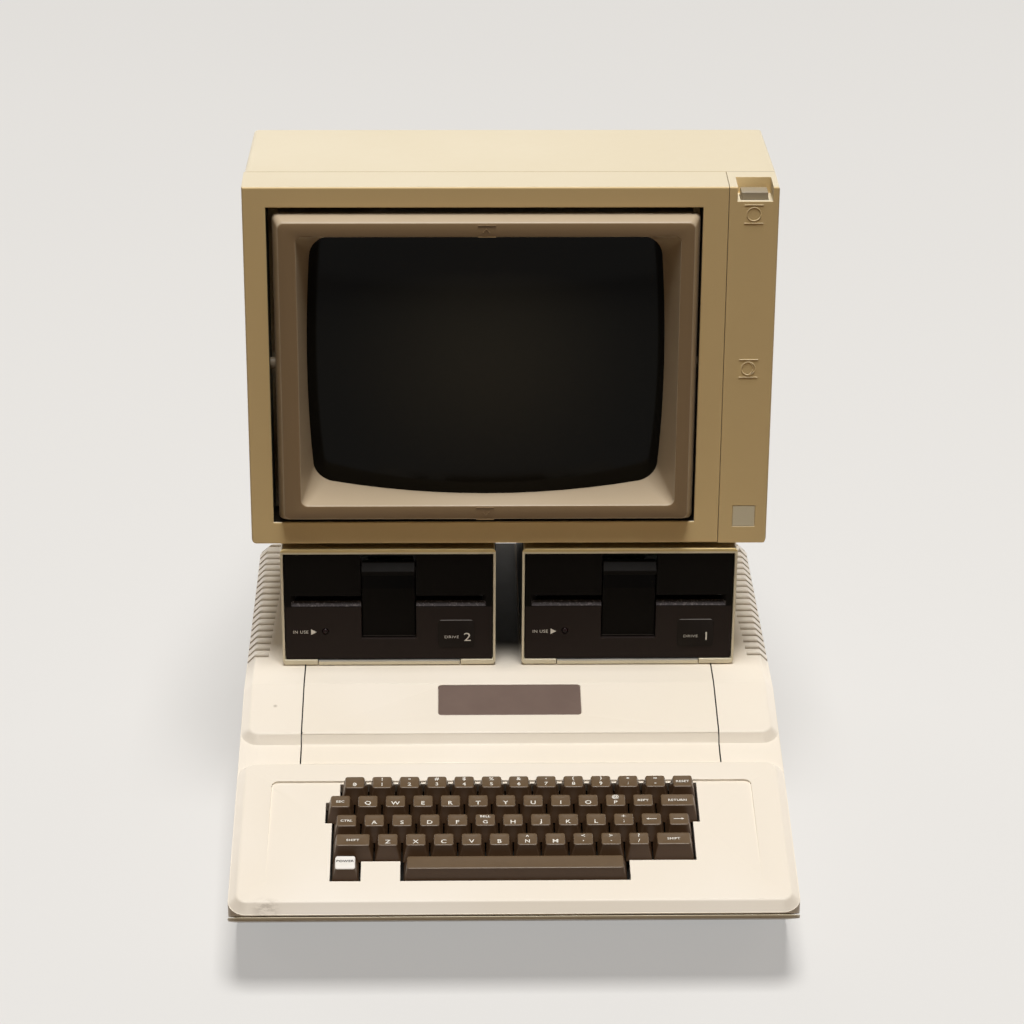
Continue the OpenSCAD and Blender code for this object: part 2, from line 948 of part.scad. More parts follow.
module drive_hub() {
  top = cast_z + cast_t;
  translate([0, hub_v, 0]) {
    translate([0, 0, 16])
      cylinder(h = top - 10, r = 5);
    translate([0, 0, top + 0.3])
      cylinder(h = slot_z - 0.6 - top - 0.3, r1 = hub_r, r2 = hub_r - 4);
    difference() {
      translate([0, 0, 16])
        cylinder(h = 6, r = 32);
      for (a = [0:60:300])
        rotate([0, 0, a])
          translate([19, 0, 15])
            cylinder(h = 8, r = 6);
    }
  }
}

module drive_head() {
  top = cast_z + cast_t;
  difference() {
    union() {
      block(-30, 30, head_v, head_v + 28, top + 1.2, slot_z - 1);
      translate([0, head_v + 8, slot_z - 1.5])
        cylinder(h = 0.9, r = 4);
    }
    for (x = [-22, 22])
      translate([x, head_v - 18, top + 6])
        rotate([-90, 0, 0])
          cylinder(h = 60, r = 2.5 + shaft_fit);
  }
}

module drive_motor() {
  translate([48, 172, 0]) {
    translate([0, 0, cast_z + cast_t])
      cylinder(h = 34, r = 18);
    translate([0, 0, 16])
      cylinder(h = cast_z + cast_t - 15, r = 3);
    translate([0, 0, 16])
      cylinder(h = 6, r = 8);
  }
}

module drive_board() {
  block(-72, 72, 22, 152, 78, 79.6);
  for (i = [0:4], j = [0:2])
    block(-60 + i * 26, -42 + i * 26, 40 + j * 36, 47 + j * 36, 79.6, 83.2);
}

module left_drive_cover() {
  color(cream)
  in_drive(-1)
    drive_cover();
}

module left_drive_chassis() {
  color(steel)
  in_drive(-1)
    drive_chassis();
}

module left_drive_bezel() {
  color(black)
  in_drive(-1)
    drive_bezel();
}

module left_drive_door() {
  color(black)
  in_drive(-1)
    drive_door();
}

module left_drive_hub() {
  color(grey)
  in_drive(-1)
    drive_hub();
}

module left_drive_head() {
  color(grey)
  in_drive(-1)
    drive_head();
}

module left_drive_motor() {
  color(steel)
  in_drive(-1)
    drive_motor();
}

module left_drive_board() {
  color(green)
  in_drive(-1)
    drive_board();
}

module right_drive_cover() {
  color(cream)
  in_drive(1)
    drive_cover();
}

module right_drive_chassis() {
  color(steel)
  in_drive(1)
    drive_chassis();
}

module right_drive_bezel() {
  color(black)
  in_drive(1)
    drive_bezel();
}

module right_drive_door() {
  color(black)
  in_drive(1)
    drive_door();
}

module right_drive_hub() {
  color(grey)
  in_drive(1)
    drive_hub();
}

module right_drive_head() {
  color(grey)
  in_drive(1)
    drive_head();
}

module right_drive_motor() {
  color(steel)
  in_drive(1)
    drive_motor();
}

module right_drive_board() {
  color(green)
  in_drive(1)
    drive_board();
}

module drive_lamps() {
  color([0.5, 0.06, 0.04])
  for (side = drive_side)
    in_drive(side)
      translate([lamp_x, 2.4, lamp_z]) {
        sphere(r = 2.3);
        rotate([-90, 0, 0])
          cylinder(h = 8, r = 2.3);
      }
}

module drive_feet() {
  color(black)
  for (side = drive_side, x = [-50, 50], y = [24, drive_d - 24])
    in_drive(side)
      translate([x, y, -drive_foot_h])
        cylinder(h = drive_foot_h, r = 7);
}

// ---- monitor ----
lean_y = mon_h * tan(mon_lean);
side_line = [
  [0, 0], [lean_y, mon_h], [lean_y + top_d, mon_h], [mon_d, mon_h - rear_drop],
  [mon_d, 12], [200, 0]
];
top_line = [
  [-mon_w / 2, -5], [-mon_w / 2, frame_d + 14], [2 - mon_w / 2, top_d + 14],
  [56 - mon_w / 2, mon_d + 1], [mon_w / 2 - 56, mon_d + 1], [mon_w / 2 - 2, top_d + 14],
  [mon_w / 2, frame_d + 14], [mon_w / 2, -5]
];
button_x = mon_w / 2 - 16.8;
wheel_z = mon_h / 2;
wheel_y = 18;
wheel_r = 13;

module monitor_outline() {
  intersection() {
    along_x(side_line, mon_w + 2);
    translate([0, 0, -1])
      linear_extrude(height = mon_h + 2)
        polygon(top_line);
  }
}

module monitor_room() {
  t = mon_t;
  intersection() {
    along_x([
      [10, t], [200, t], [mon_d - t, 12 + t], [mon_d - t, mon_h - rear_drop - t],
      [lean_y + top_d - 1, mon_h - t], [10, mon_h - t]
    ], mon_w);
    translate([0, 0, -1])
      linear_extrude(height = mon_h + 2)
        polygon([
          [t - mon_w / 2, 18], [t - mon_w / 2, frame_d + 14], [2 + t - mon_w / 2, top_d + 14],
          [57 + t - mon_w / 2, mon_d], [mon_w / 2 - 57 - t, mon_d],
          [mon_w / 2 - 2 - t, top_d + 14], [mon_w / 2 - t, frame_d + 20],
          [strip_x + seam, frame_d + 20], [strip_x + seam, 18]
        ]);
  }
}

module monitor_housing() {
  t = mon_t;
  color(cream) {
    difference() {
      in_monitor()
        monitor_outline();
      in_monitor()
        monitor_room();
      on_lean() {
        block(-mon_w, strip_x + seam, -5, frame_d + seam, -10, mon_h + 20);
        block(strip_x + 3.6, mon_w / 2 - t, 4, frame_d + 30, 6, mon_h - 17);
        block(button_x - 12.3, button_x + 12.3, -5, 20, mon_h - 10.2, mon_h + 10);
        block(button_x - 9.7, button_x + 9.7, 4, 17.4, mon_h - 20, mon_h);
        block(button_x - 8.2, button_x + 8.2, -5, 0.8, 12.7, 29.1);
        translate([mon_w / 2 + 1.2 - wheel_r, wheel_y, wheel_z - 1.8])
          cylinder(h = 3.6, r = wheel_r + 0.5);
      }
      in_monitor() {
        for (i = [-8:8])
          block(i * 12 - 1.6, i * 12 + 1.6, 175, 300, mon_h - rear_drop - 23, mon_h);
        block(-16, 16, mon_d - 10, mon_d + 5, 40, 64);
        translate([60, mon_d - 10, 52])
          rotate([-90, 0, 0])
            cylinder(h = 20, r = 6.4);
      }
    }
    on_lean() {
      block(mon_w / 2 - 24, mon_w / 2 - 1, wheel_y - 8, wheel_y + 8, wheel_z - 6, wheel_z - 2);
      translate([mon_w / 2 + 1.2 - wheel_r, wheel_y, wheel_z - 4])
        cylinder(h = 8, r = 1.92);
    }
  }
}

module monitor_front() {
  t = mon_t;
  color(cream)
  difference() {
    intersection() {
      in_monitor()
        monitor_outline();
      on_lean()
        block(-mon_w, strip_x, -5, frame_d, -10, mon_h + 20);
    }
    on_lean() {
      block(open_l, open_r, -5, frame_d + 5, open_lo, open_hi);
      difference() {
        block(t - mon_w / 2, strip_x - t, 4, frame_d + 5, t + 1.8, mon_h - t + 0.3);
        block(open_l - t, open_r + t, 0, frame_d + 6, open_lo - t, open_hi + t);
      }
      translate([(open_l + open_r) / 2, pivot_y, screen_z])
        rotate([0, 90, 0])
          cylinder(h = open_r - open_l + 2 * t + 4, r = pivot_r + shaft_fit, center = true);
    }
  }
}

module screen_frame() {
  w = screen_w;
  h = screen_h;
  c = screen_c;
  o = -screen_out;
  color(putty)
  on_lean()
    difference() {
      union() {
        intersection() {
          translate([screen_x, 0, screen_z])
            along_x([[4, -h / 2], [4, h / 2], [o, h / 2 - c], [o, c - h / 2]], w + 2);
          translate([screen_x, 0, 0])
            linear_extrude(height = mon_h + 10)
              polygon([[-w / 2, 4], [w / 2, 4], [w / 2 - c, o], [c - w / 2, o]]);
        }
        block(screen_x - w / 2 + 3, screen_x + w / 2 - 3, 3, 45, screen_z - h / 2 + 3,
          screen_z + h / 2 - 3);
        translate([(open_l + open_r) / 2, pivot_y, screen_z])
          rotate([0, 90, 0])
            cylinder(h = open_r - open_l + 2 * mon_t + 2, r = pivot_r, center = true);
      }
      difference() {
        block(screen_x - w / 2 + 3 + rim_t, screen_x + w / 2 - 3 - rim_t, o + 3 + rim_t, 46,
          screen_z - h / 2 + 3 + rim_t, screen_z + h / 2 - 3 - rim_t);
        screen_hollow(rim_t);
        for (x = [-1, 1], z = [-1, 1])
          translate([screen_x + x * (w / 2 - 10), o + 3, screen_z + z * (h / 2 - 10)])
            rotate([-90, 0, 0])
              cylinder(h = 45 - o - 3, r = 5);
      }
      screen_hollow(0);
      translate([glass_x, glass_y, screen_z])
        tube_face(0.3);
    }
}

// The way in from the front edge of the frame, narrowing towards the glass
module screen_hollow(grow) {
  o = -screen_out - 1;
  d = 61;
  top = funnel_h / 2 + grow;
  left = -funnel_l - grow;
  right = funnel_r + grow;
  intersection() {
    translate([0, 0, screen_z])
      along_x([
        [o, top], [o + d, top - d * funnel_v], [o + d, d * funnel_v - top], [o, -top]
      ], mon_w);
    translate([glass_x, 0, 0])
      linear_extrude(height = mon_h + 10)
        polygon([
          [left, o], [left + d * funnel_u[0], o + d], [right - d * funnel_u[1], o + d], [right, o]
        ]);
  }
}

module tube_face(grow) {
  intersection() {
    translate([0, tube_r, 0])
      sphere(r = tube_r + grow, $fn = 120);
    translate([0, 66, 0])
      rotate([90, 0, 0])
        round_block(tube_w + 2 * grow, tube_h + 2 * grow, 80, 20);
  }
}

// Glass envelope: thick curved face, thin funnel, narrow neck
module tube_funnel(grow) {
  intersection() {
    translate([0, 64, 0])
      rotate([-90, 0, 0])
        cylinder(h = 122, r1 = 166 + grow, r2 = 16 + grow);
    translate([0, 200, 0])
      rotate([90, 0, 0])
        round_block(tube_w + 2 * grow, tube_h + 2 * grow, 140, 20 + grow);
  }
}

module tube_neck(r, from, to) {
  translate([0, from, 0])
    rotate([-90, 0, 0])
      cylinder(h = to - from, r = r);
}

module picture_tube() {
  color([0.10, 0.11, 0.10])
  on_lean()
    translate([glass_x, glass_y, screen_z])
      difference() {
        union() {
          tube_face(0);
          tube_funnel(0);
          tube_neck(neck_r, 180, tube_l);
        }
        intersection() {
          translate([0, tube_r, 0])
            sphere(r = tube_r - face_t, $fn = 120);
          translate([0, 66, 0])
            rotate([90, 0, 0])
              round_block(tube_w - 2 * funnel_t, tube_h - 2 * funnel_t, 80, 20 - funnel_t);
        }
        tube_funnel(-funnel_t);
        tube_neck(neck_r - 1.5, 170, tube_l - 4);
      }
}

module deflection_yoke() {
  color([0.45, 0.22, 0.10])
  on_lean()
    translate([glass_x, glass_y, screen_z])
      difference() {
        translate([0, 176, 0])
          rotate([-90, 0, 0])
            cylinder(h = 46, r = 42);
        translate([0, 64, 0])
          rotate([-90, 0, 0])
            cylinder(h = 122, r1 = 166.4, r2 = 16.4);
        tube_neck(neck_r + 0.4, 150, tube_l + 2);
      }
}

module monitor_board() {
  color(green)
  in_monitor() {
    block(-110, 110, 124, 196, 8, 9.6);
    for (x = [-100, 0, 100], y = [132, 188])
      translate([x, y, mon_t])
        cylinder(h = 5, r = 3);
    for (i = [0:4])
      block(-96 + i * 32, -82 + i * 32, 140, 152, 9.6, 15);
    block(62, 104, 146, 186, 9.6, 38);
  }
}

module monitor_jacks() {
  color(black)
  in_monitor() {
    difference() {
      block(-15.6, 15.6, mon_d - 22, mon_d - 0.4, 40.4, 63.6);
      block(-12, 12, mon_d - 16, mon_d + 1, 43, 61);
    }
    for (x = [-7, 0, 7])
      block(x - 1, x + 1, mon_d - 17, mon_d - 6, 50, 54);
    translate([60, mon_d - 12, 52])
      rotate([-90, 0, 0])
        difference() {
          cylinder(h = 11.6, r = 6);
          translate([0, 0, 2])
            cylinder(h = 12, r = 1.7);
        }
  }
}

module monitor_switch() {
  color(cream)
  on_lean()
    block(button_x - 9.3, button_x + 9.3, 4.4, 17, mon_h - 27, mon_h - 4.8);
}

module brightness_wheel() {
  color(cream)
  on_lean()
    translate([mon_w / 2 + 1.2 - wheel_r, wheel_y, wheel_z - 1.4])
      difference() {
        cylinder(h = 2.8, r = wheel_r);
        translate([0, 0, -1])
          cylinder(h = 5, r = 2);
        for (a = [0:12:348])
          rotate([0, 0, a])
            translate([wheel_r + 0.4, 0, -1])
              cylinder(h = 5, r = 0.8);
      }
}

module monitor_emblem() {
  color(grey)
  on_lean()
    block(button_x - 7.9, button_x + 7.9, 0.2, 0.8, 13, 28.8);
}

module monitor_feet() {
  color(black)
  for (x = [-foot_x, foot_x], y = [22, 172])
    in_monitor()
      translate([x, y, -mon_foot_h])
        cylinder(h = mon_foot_h, r = 8);
}

base_pan();
base_feet();
base_screws();
case_shell();
lid();
nameplate();
keyboard_plate();
keyboard_board();
power_lamp_cap();
number_row_keys();
upper_row_keys();
home_row_keys();
lower_row_keys();
escape_key();
repeat_key();
return_key();
reset_key();
control_key();
left_arrow_key();
right_arrow_key();
left_shift_key();
right_shift_key();
space_bar();
main_board();
expansion_sockets();
controller_card();
power_supply();
mains_switch();
mains_inlet();
speaker();
rear_jacks();
left_drive_cover();
left_drive_chassis();
left_drive_bezel();
left_drive_door();
left_drive_hub();
left_drive_head();
left_drive_motor();
left_drive_board();
right_drive_cover();
right_drive_chassis();
right_drive_bezel();
right_drive_door();
right_drive_hub();
right_drive_head();
right_drive_motor();
right_drive_board();
drive_lamps();
drive_feet();
monitor_housing();
monitor_front();
screen_frame();
picture_tube();
deflection_yoke();
monitor_board();
monitor_jacks();
monitor_switch();
brightness_wheel();
monitor_emblem();
monitor_feet();
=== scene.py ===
"""Vintage home computer: wedge case with built-in keyboard, two disk drives and a tilting monitor."""

import json
import math

import bmesh
import bpy
from mathutils import Matrix, Vector


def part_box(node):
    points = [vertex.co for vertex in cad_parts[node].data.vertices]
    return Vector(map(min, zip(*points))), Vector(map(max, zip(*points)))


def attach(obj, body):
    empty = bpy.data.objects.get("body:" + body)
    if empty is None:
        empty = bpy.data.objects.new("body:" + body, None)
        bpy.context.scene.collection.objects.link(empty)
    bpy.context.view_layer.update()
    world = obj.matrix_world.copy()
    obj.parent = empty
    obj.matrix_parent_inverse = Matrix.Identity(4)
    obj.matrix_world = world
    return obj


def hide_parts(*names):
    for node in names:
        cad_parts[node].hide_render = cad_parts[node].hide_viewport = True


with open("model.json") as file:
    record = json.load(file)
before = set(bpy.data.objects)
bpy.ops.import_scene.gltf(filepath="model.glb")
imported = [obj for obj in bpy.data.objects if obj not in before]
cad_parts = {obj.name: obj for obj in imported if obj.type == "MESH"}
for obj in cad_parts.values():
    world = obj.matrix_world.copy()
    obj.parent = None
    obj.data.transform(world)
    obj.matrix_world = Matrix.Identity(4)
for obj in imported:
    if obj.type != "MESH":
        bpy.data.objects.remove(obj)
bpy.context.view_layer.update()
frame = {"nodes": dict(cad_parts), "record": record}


# ---- Base pan, feet and screws ----
# A pan of painted sheet steel closes the case from below and turns up under the nose.
# Four turned rubber pads are stuck into it, and six plated screws hold it to the shell.
mm = 0.001


class Value:
    """A number in a material that varies over the surface; sums and products add their nodes."""

    def __init__(self, board, socket):
        self.board, self.socket = board, socket

    def _calc(self, operation, first, second=0.0):
        return self.board.node("Math", {"operation": operation}, {0: first, 1: second})

    def __add__(self, other):
        return self._calc("ADD", self, other)

    def __radd__(self, other):
        return self._calc("ADD", other, self)

    def __sub__(self, other):
        return self._calc("SUBTRACT", self, other)

    def __rsub__(self, other):
        return self._calc("SUBTRACT", other, self)

    def __mul__(self, other):
        return self._calc("MULTIPLY", self, other)

    def __rmul__(self, other):
        return self._calc("MULTIPLY", other, self)

    def __abs__(self):
        return self._calc("ABSOLUTE", self)

    def above(self, edge, soft):
        """0 below edge, 1 above it, with a soft step between."""
        settings = {"interpolation_type": "SMOOTHSTEP"}
        steps = {0: self, 1: edge - soft, 2: edge + soft, 3: 0.0, 4: 1.0}
        return self.board.node("MapRange", settings, steps)

    def within(self, low, high, soft):
        """1 between low and high, 0 outside."""
        return self.above(low, soft) * (1 - self.above(high, soft))


def paint(code):
    """The linear colour of a paint card written as #rrggbb."""
    parts = [int(code[i : i + 2], 16) / 255 for i in (1, 3, 5)]
    return (*[c / 12.92 if c <= 0.04045 else ((c + 0.055) / 1.055) ** 2.4 for c in parts], 1.0)


class Board:
    """A sheet of shader nodes."""

    def __init__(self, tree):
        self.tree = tree

    def node(self, kind, settings=(), inputs=(), output=0):
        """A node of this kind, its settings made first, then its sockets filled or linked."""
        made = self.tree.nodes.new("ShaderNode" + kind)
        for key, value in dict(settings).items():
            setattr(made, key, value)
        for key, value in dict(inputs).items():
            if isinstance(value, Value):
                self.tree.links.new(value.socket, made.inputs[key])
            else:
                made.inputs[key].default_value = value
        return Value(self, made.outputs[output])

    def mix(self, base, over, amount):
        """Colour base, with colour over laid on it by amount."""
        return self.node("Mix", {"data_type": "RGBA"}, {0: amount, 6: base, 7: over}, output=2)


class Finish(Board):
    """One material: a Principled shader, and what varies over its surface."""

    def __init__(self, name, colour, roughness, metallic=0.0, coat=0.0, specular=0.4):
        self.material = bpy.data.materials.new(name)
        self.material.use_nodes = True
        super().__init__(self.material.node_tree)
        self.shader = self.tree.nodes["Principled BSDF"]
        self.shader.inputs["Base Color"].default_value = colour
        self.shader.inputs["Roughness"].default_value = roughness
        self.shader.inputs["Metallic"].default_value = metallic
        self.shader.inputs["Coat Weight"].default_value = coat
        self.shader.inputs["Specular IOR Level"].default_value = specular
        self.material.diffuse_color = colour
        self.spot = None

    def place(self):
        """Where a point of the piece is, in metres from the machine's origin."""
        if self.spot is None:
            self.spot = self.node("TexCoord", output="Object")
        return self.spot

    def along(self, axis):
        """The same place along X, Y or Z alone."""
        return self.node("SeparateXYZ", {}, {0: self.place()}, output="XYZ".index(axis))

    def vector(self, operation, first, second, output=0):
        """Two vectors or colours put together by a Vector Math node."""
        return self.node("VectorMath", {"operation": operation}, {0: first, 1: second}, output)

    def near(self, spot, reach):
        """1 at the spot, falling to 0 at reach from it."""
        away = self.vector("DISTANCE", self.place(), spot, "Value")
        return 1 - away.above(reach / 2, reach / 2)

    def noise(self, size, detail=3.0, rough=0.55, stretch=(1, 1, 1)):
        """Cloudy grain between 0 and 1, with blots about this size in metres."""
        where = self.place()
        if stretch != (1, 1, 1):
            where = self.vector("MULTIPLY", where, stretch)
        sockets = {"Vector": where, "Scale": 0.5 / size, "Detail": detail, "Roughness": rough}
        return self.node("TexNoise", {}, sockets)

    def set(self, **values):
        """Feed sockets of the shader with what varies over the surface."""
        for name, value in values.items():
            self.tree.links.new(value.socket, self.shader.inputs[name.replace("_", " ")])
        return self

    def relief(self, height, depth):
        """Bumps whose full height is depth metres."""
        bump = self.node("Bump", {}, {"Height": height, "Distance": depth, "Strength": 1.0})
        return self.set(Normal=bump)


def painted_steel(name, colour, shade, roughness=0.42, extra=None):
    """Sheet steel under stoved paint: slight orange peel, a few darker rubs.
    extra(finish, tone) may lay more on the colour."""
    made = Finish(name, paint(colour), roughness, coat=0.1)
    rub = made.noise(0.012, 5.0, 0.7).within(0.6, 1.2, 0.05)
    cloud = made.noise(0.12, 2.0)
    tone = made.mix(paint(colour), paint(shade), cloud * 0.35 + rub * 0.15)
    if extra:
        tone = extra(made, tone)
    made.set(Base_Color=tone, Roughness=roughness + 0.14 * rub)
    return made.relief(made.noise(0.0016, 2.0), 0.00004)


def bare_metal(name, colour, roughness=0.34, grain=(1, 1, 1)):
    """Plated, cast or wound metal with a fine grain and a dull bloom here and there."""
    made = Finish(name, paint(colour), roughness, metallic=1.0)
    bloom = made.noise(0.02, 4.0)
    line = made.noise(0.0006, 3.0, stretch=grain)
    dull = made.node("HueSaturation", {}, {"Value": 0.72 + 0.4 * bloom, "Color": paint(colour)})
    made.set(Base_Color=dull, Roughness=roughness - 0.08 + 0.25 * bloom * line + 0.06 * line)
    return made.relief(line, 0.00001)


def piece(name, mesh, finish, body, slot=None, stands_for=()):
    """A new piece of the machine: its mesh, its finish, and the body that it moves with."""
    made = bpy.data.objects.new(name, mesh)
    bpy.context.scene.collection.objects.link(made)
    for one in finish if isinstance(finish, (list, tuple)) else [finish]:
        mesh.materials.append(one.material)
    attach(made, body)
    if stands_for:
        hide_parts(*stands_for)
    return made


def finished(name, form, sharp=35):
    """The bmesh form as a mesh whose round faces shade smooth, with crisp edges past sharp degrees."""
    bmesh.ops.recalc_face_normals(form, faces=form.faces)
    mesh = bpy.data.meshes.new(name)
    form.to_mesh(mesh)
    form.free()
    for face in mesh.polygons:
        face.use_smooth = True
    mesh.set_sharp_from_angle(angle=math.radians(sharp))
    return mesh


def body_of(node):
    """The body that a CAD node moves with."""
    bodies = frame["record"]["behaviour"]["bodies"]
    return next(body for body, nodes in bodies.items() if node in nodes)


def slot_of(node):
    """The material slot that a CAD node has in the record."""
    return next(part["material_slot"] for part in frame["record"]["subparts"] if part["node"] == node)


def in_line(edge, other, vert):
    """Whether two edges that meet at vert run on, within 30 degrees of straight."""
    nearly_opposite = -0.86
    ahead = (edge.other_vert(vert).co - vert.co).normalized()
    back = (other.other_vert(vert).co - vert.co).normalized()
    return ahead.dot(back) < nearly_opposite


def room_beside(edge, sizes):
    """The largest radius that leaves the edge's neighbours whole: just under half of each."""
    share = 0.42
    line = (edge.verts[1].co - edge.verts[0].co).normalized()
    room = 1.0
    for face in edge.link_faces:
        for vert in edge.verts:
            other = next(e for e in face.edges if e is not edge and vert in e.verts)
            across = (other.verts[1].co - other.verts[0].co).cross(line).length
            if across > 1e-6 and not (other in sizes and in_line(edge, other, vert)):
                room = min(room, share * across)
    return room


def even_out(sizes):
    """Edges that run on in line get one radius, so that a rounding never steps."""
    chains = []
    for edge in sizes:
        for vert in edge.verts:
            others = [other for other in vert.link_edges if other in sizes]
            chains += [(edge, other) for other in others if in_line(edge, other, vert)]
    settled = False
    while not settled:
        settled = True
        for edge, other in chains:
            if sizes[other] > sizes[edge] + 1e-7:
                sizes[other] = sizes[edge]
                settled = False


def eased(node, finish, radius):
    """A node's shape with its edges rounded over, as they come from a mould or a press.
    radius is one size, or radius(middle, edge) gives each edge its own."""
    weld, level, sharp, many_sides = 0.02 * mm, math.radians(0.6), 24, 24
    form = bmesh.new()
    form.from_mesh(frame["nodes"][node].data)
    bmesh.ops.remove_doubles(form, verts=form.verts, dist=weld)
    bmesh.ops.dissolve_limit(form, angle_limit=level, verts=form.verts, edges=form.edges)
    large = [face for face in form.faces if len(face.verts) > many_sides]
    bmesh.ops.connect_verts_concave(form, faces=large)
    weights = form.edges.layers.float.new("bevel_weight_edge")
    sizes = {}
    for edge in form.edges:
        if len(edge.link_faces) == 2 and edge.calc_face_angle(0) > math.radians(sharp):
            middle = (edge.verts[0].co + edge.verts[1].co) / 2
            wanted = radius(middle, edge) if callable(radius) else radius
            if wanted:
                sizes[edge] = wanted
    rooms = {edge: room_beside(edge, sizes) for edge in sizes}
    for edge in sizes:
        sizes[edge] = min(sizes[edge], rooms[edge])
    even_out(sizes)
    largest = max(sizes.values())
    for edge, size in sizes.items():
        edge[weights] = size / largest
    mesh = finished(node, form, sharp)
    made = piece(node + "_form", mesh, finish, body_of(node), slot_of(node), [node])
    bevel = made.modifiers.new("eased_edges", "BEVEL")
    bevel.width = largest
    bevel.segments = 3
    bevel.limit_method = "WEIGHT"
    bevel.use_clamp_overlap = False
    bevel.loop_slide = False
    bevel.harden_normals = True
    return made


pan_paint = painted_steel("pan_paint", "#d9ccb0", "#b9aa8a")
plated = bare_metal("plated_steel", "#c9c7c2")
foot_rubber = Finish("foot_rubber", paint("#141312"), 0.78, specular=0.2)
foot_dust = foot_rubber.noise(0.003, 5.0, 0.7).within(0.55, 1.2, 0.1)
foot_rubber.set(Base_Color=foot_rubber.mix(paint("#141312"), paint("#4a4741"), foot_dust * 0.5))
foot_rubber.relief(foot_rubber.noise(0.0008, 2.0), 0.00003)
eased("base_pan", pan_paint, 0.8 * mm)
eased("base_feet", foot_rubber, 0.5 * mm)
eased("base_screws", plated, 0.3 * mm)


# ---- Case shell ----
# The upper case is one moulding: a sloping deck with a sunken panel round the keys, a valley
# across it, and a raised rear part with cooling slots cut through both shoulders.
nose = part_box("base_pan")[0].y
deck_slope = math.radians(11.9)
nose_h = 61.8 * mm
panel_rise = 6.2 * mm
case_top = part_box("case_shell")[1].z
slots_from = nose + 262 * mm
back_from = nose + 450 * mm
lid_wall = 149.5 * mm
seam_from = -152.4 * mm
deck = (
    Matrix.Translation((0, nose, nose_h))
    @ Matrix.Rotation(deck_slope, 4, "X")
    @ Matrix.Translation((0, 0, panel_rise))
)
on_deck = deck.inverted()


def plastic(name, colour, aged, roughness=0.5, grain=0.0006, depth=0.00002, specular=0.35, extra=None):
    """Moulded plastic: fine cast-in texture, and colour that has aged a little unevenly.
    extra(finish, tone) may lay more on the colour."""
    made = Finish(name, paint(colour), roughness, specular=specular)
    cloud = made.noise(0.09, 2.0)
    fleck = made.noise(0.004, 4.0)
    tone = made.mix(paint(colour), paint(aged), cloud.within(0.35, 0.9, 0.25) * 0.7 + fleck * 0.12)
    if extra:
        tone = extra(made, tone)
    made.set(Base_Color=tone, Roughness=roughness - 0.06 + 0.12 * fleck)
    return made.relief(made.noise(grain, 2.0) * 0.8 + made.noise(grain * 6, 2.0) * 0.2, depth)


def case_edge(middle, edge):
    """Generous radii on the outside, small ones round the keys, slots and seams."""
    spot = on_deck @ middle
    keys = abs(spot.x) < 170 * mm and 16 * mm < spot.y < 132 * mm
    slots = abs(middle.x) > 160 * mm and middle.y > slots_from and middle.z < case_top - 0.5 * mm
    seam = abs(abs(middle.x) - lid_wall) < 2.5 * mm
    if keys or slots or middle.y > back_from:
        return 0.35 * mm
    if seam:
        return 0
    return 0.6 * mm if middle.z < 20 * mm else 2.0 * mm


def painted_seam_shade(made, tone):
    """Painted shade: the walls of the narrow seam between lid and case are painted black."""
    across = abs(made.along("X")).within(lid_wall - 0.57 * mm, lid_wall + 0.07 * mm, 0.02 * mm)
    return made.mix(tone, paint("#191410"), across * made.along("Y").above(seam_from, 0.1 * mm))


def handled(made, tone):
    """A grey scuff on the left of the front edge, and one small dark nick on the shoulder."""
    scuff = made.near(deck @ Vector((-167 * mm, 1 * mm, -2 * mm)), 13 * mm)
    scratches = made.noise(0.0022, 5.0, 0.75, stretch=(0.5, 1.6, 1)).above(0.5, 0.06)
    tone = made.mix(tone, paint("#b9ae9f"), scuff * scratches * 0.8)
    nick = made.near(deck @ Vector((-169 * mm, 204.3 * mm, 0)), 2.2 * mm)
    return painted_seam_shade(made, made.mix(tone, paint("#8d7c68"), nick * 0.6))


case_plastic = plastic("case_plastic", "#f3ebdf", "#ece1cf", extra=handled)
eased("case_shell", case_plastic, case_edge)


# ---- Lid and nameplate ----
# The lid lifts off for access to the cards. It follows the case's bevels and hooks in at the
# front. The nameplate is a thin brown-grey plate in a shallow recess, left without a name.
def lid_edge(middle, edge):
    """Sharp along the seams, small round the nameplate's recess, and soft elsewhere."""
    if abs(middle.x) > 147 * mm:
        return 0
    recess = abs(middle.x) < 60 * mm and edge.calc_length() < 120 * mm
    return 0.3 * mm if recess else 1.2 * mm


def lid_painted_shade(made, tone):
    """Painted shade darkens the lid between the drives, where the monitor above keeps the light off."""
    between = 1 - abs(made.along("X")).above(9 * mm, 1.5 * mm)
    behind = made.along("Y").above(-25 * mm, 20 * mm)
    return made.mix(painted_seam_shade(made, tone), paint("#2e271c"), between * behind * 0.95)


lid_plastic = plastic("lid_plastic", "#f2e9dc", "#eadfcc", extra=lid_painted_shade)
eased("lid", lid_plastic, lid_edge)
plate_face = Finish("nameplate_face", paint("#7b6860"), 0.36, metallic=0.2)
plate_face.set(Base_Color=plate_face.mix(paint("#7f6c62"), paint("#6f5d54"), plate_face.noise(0.01, 4.0)))
plate_face.relief(plate_face.noise(0.0005, 2.0, stretch=(0.15, 1, 1)), 0.000008)
eased("nameplate", plate_face, 0.25 * mm)


# ---- Keyboard plate, switches and encoder board ----
# A black plate carries a switch under every key. The encoder board hangs below it, green, with
# its tracks standing a little proud.
def dress(node, finish):
    """A CAD node that is shown as it is gets its finish."""
    target = frame["nodes"][node].data
    target.materials.clear()
    target.materials.append(finish.material)


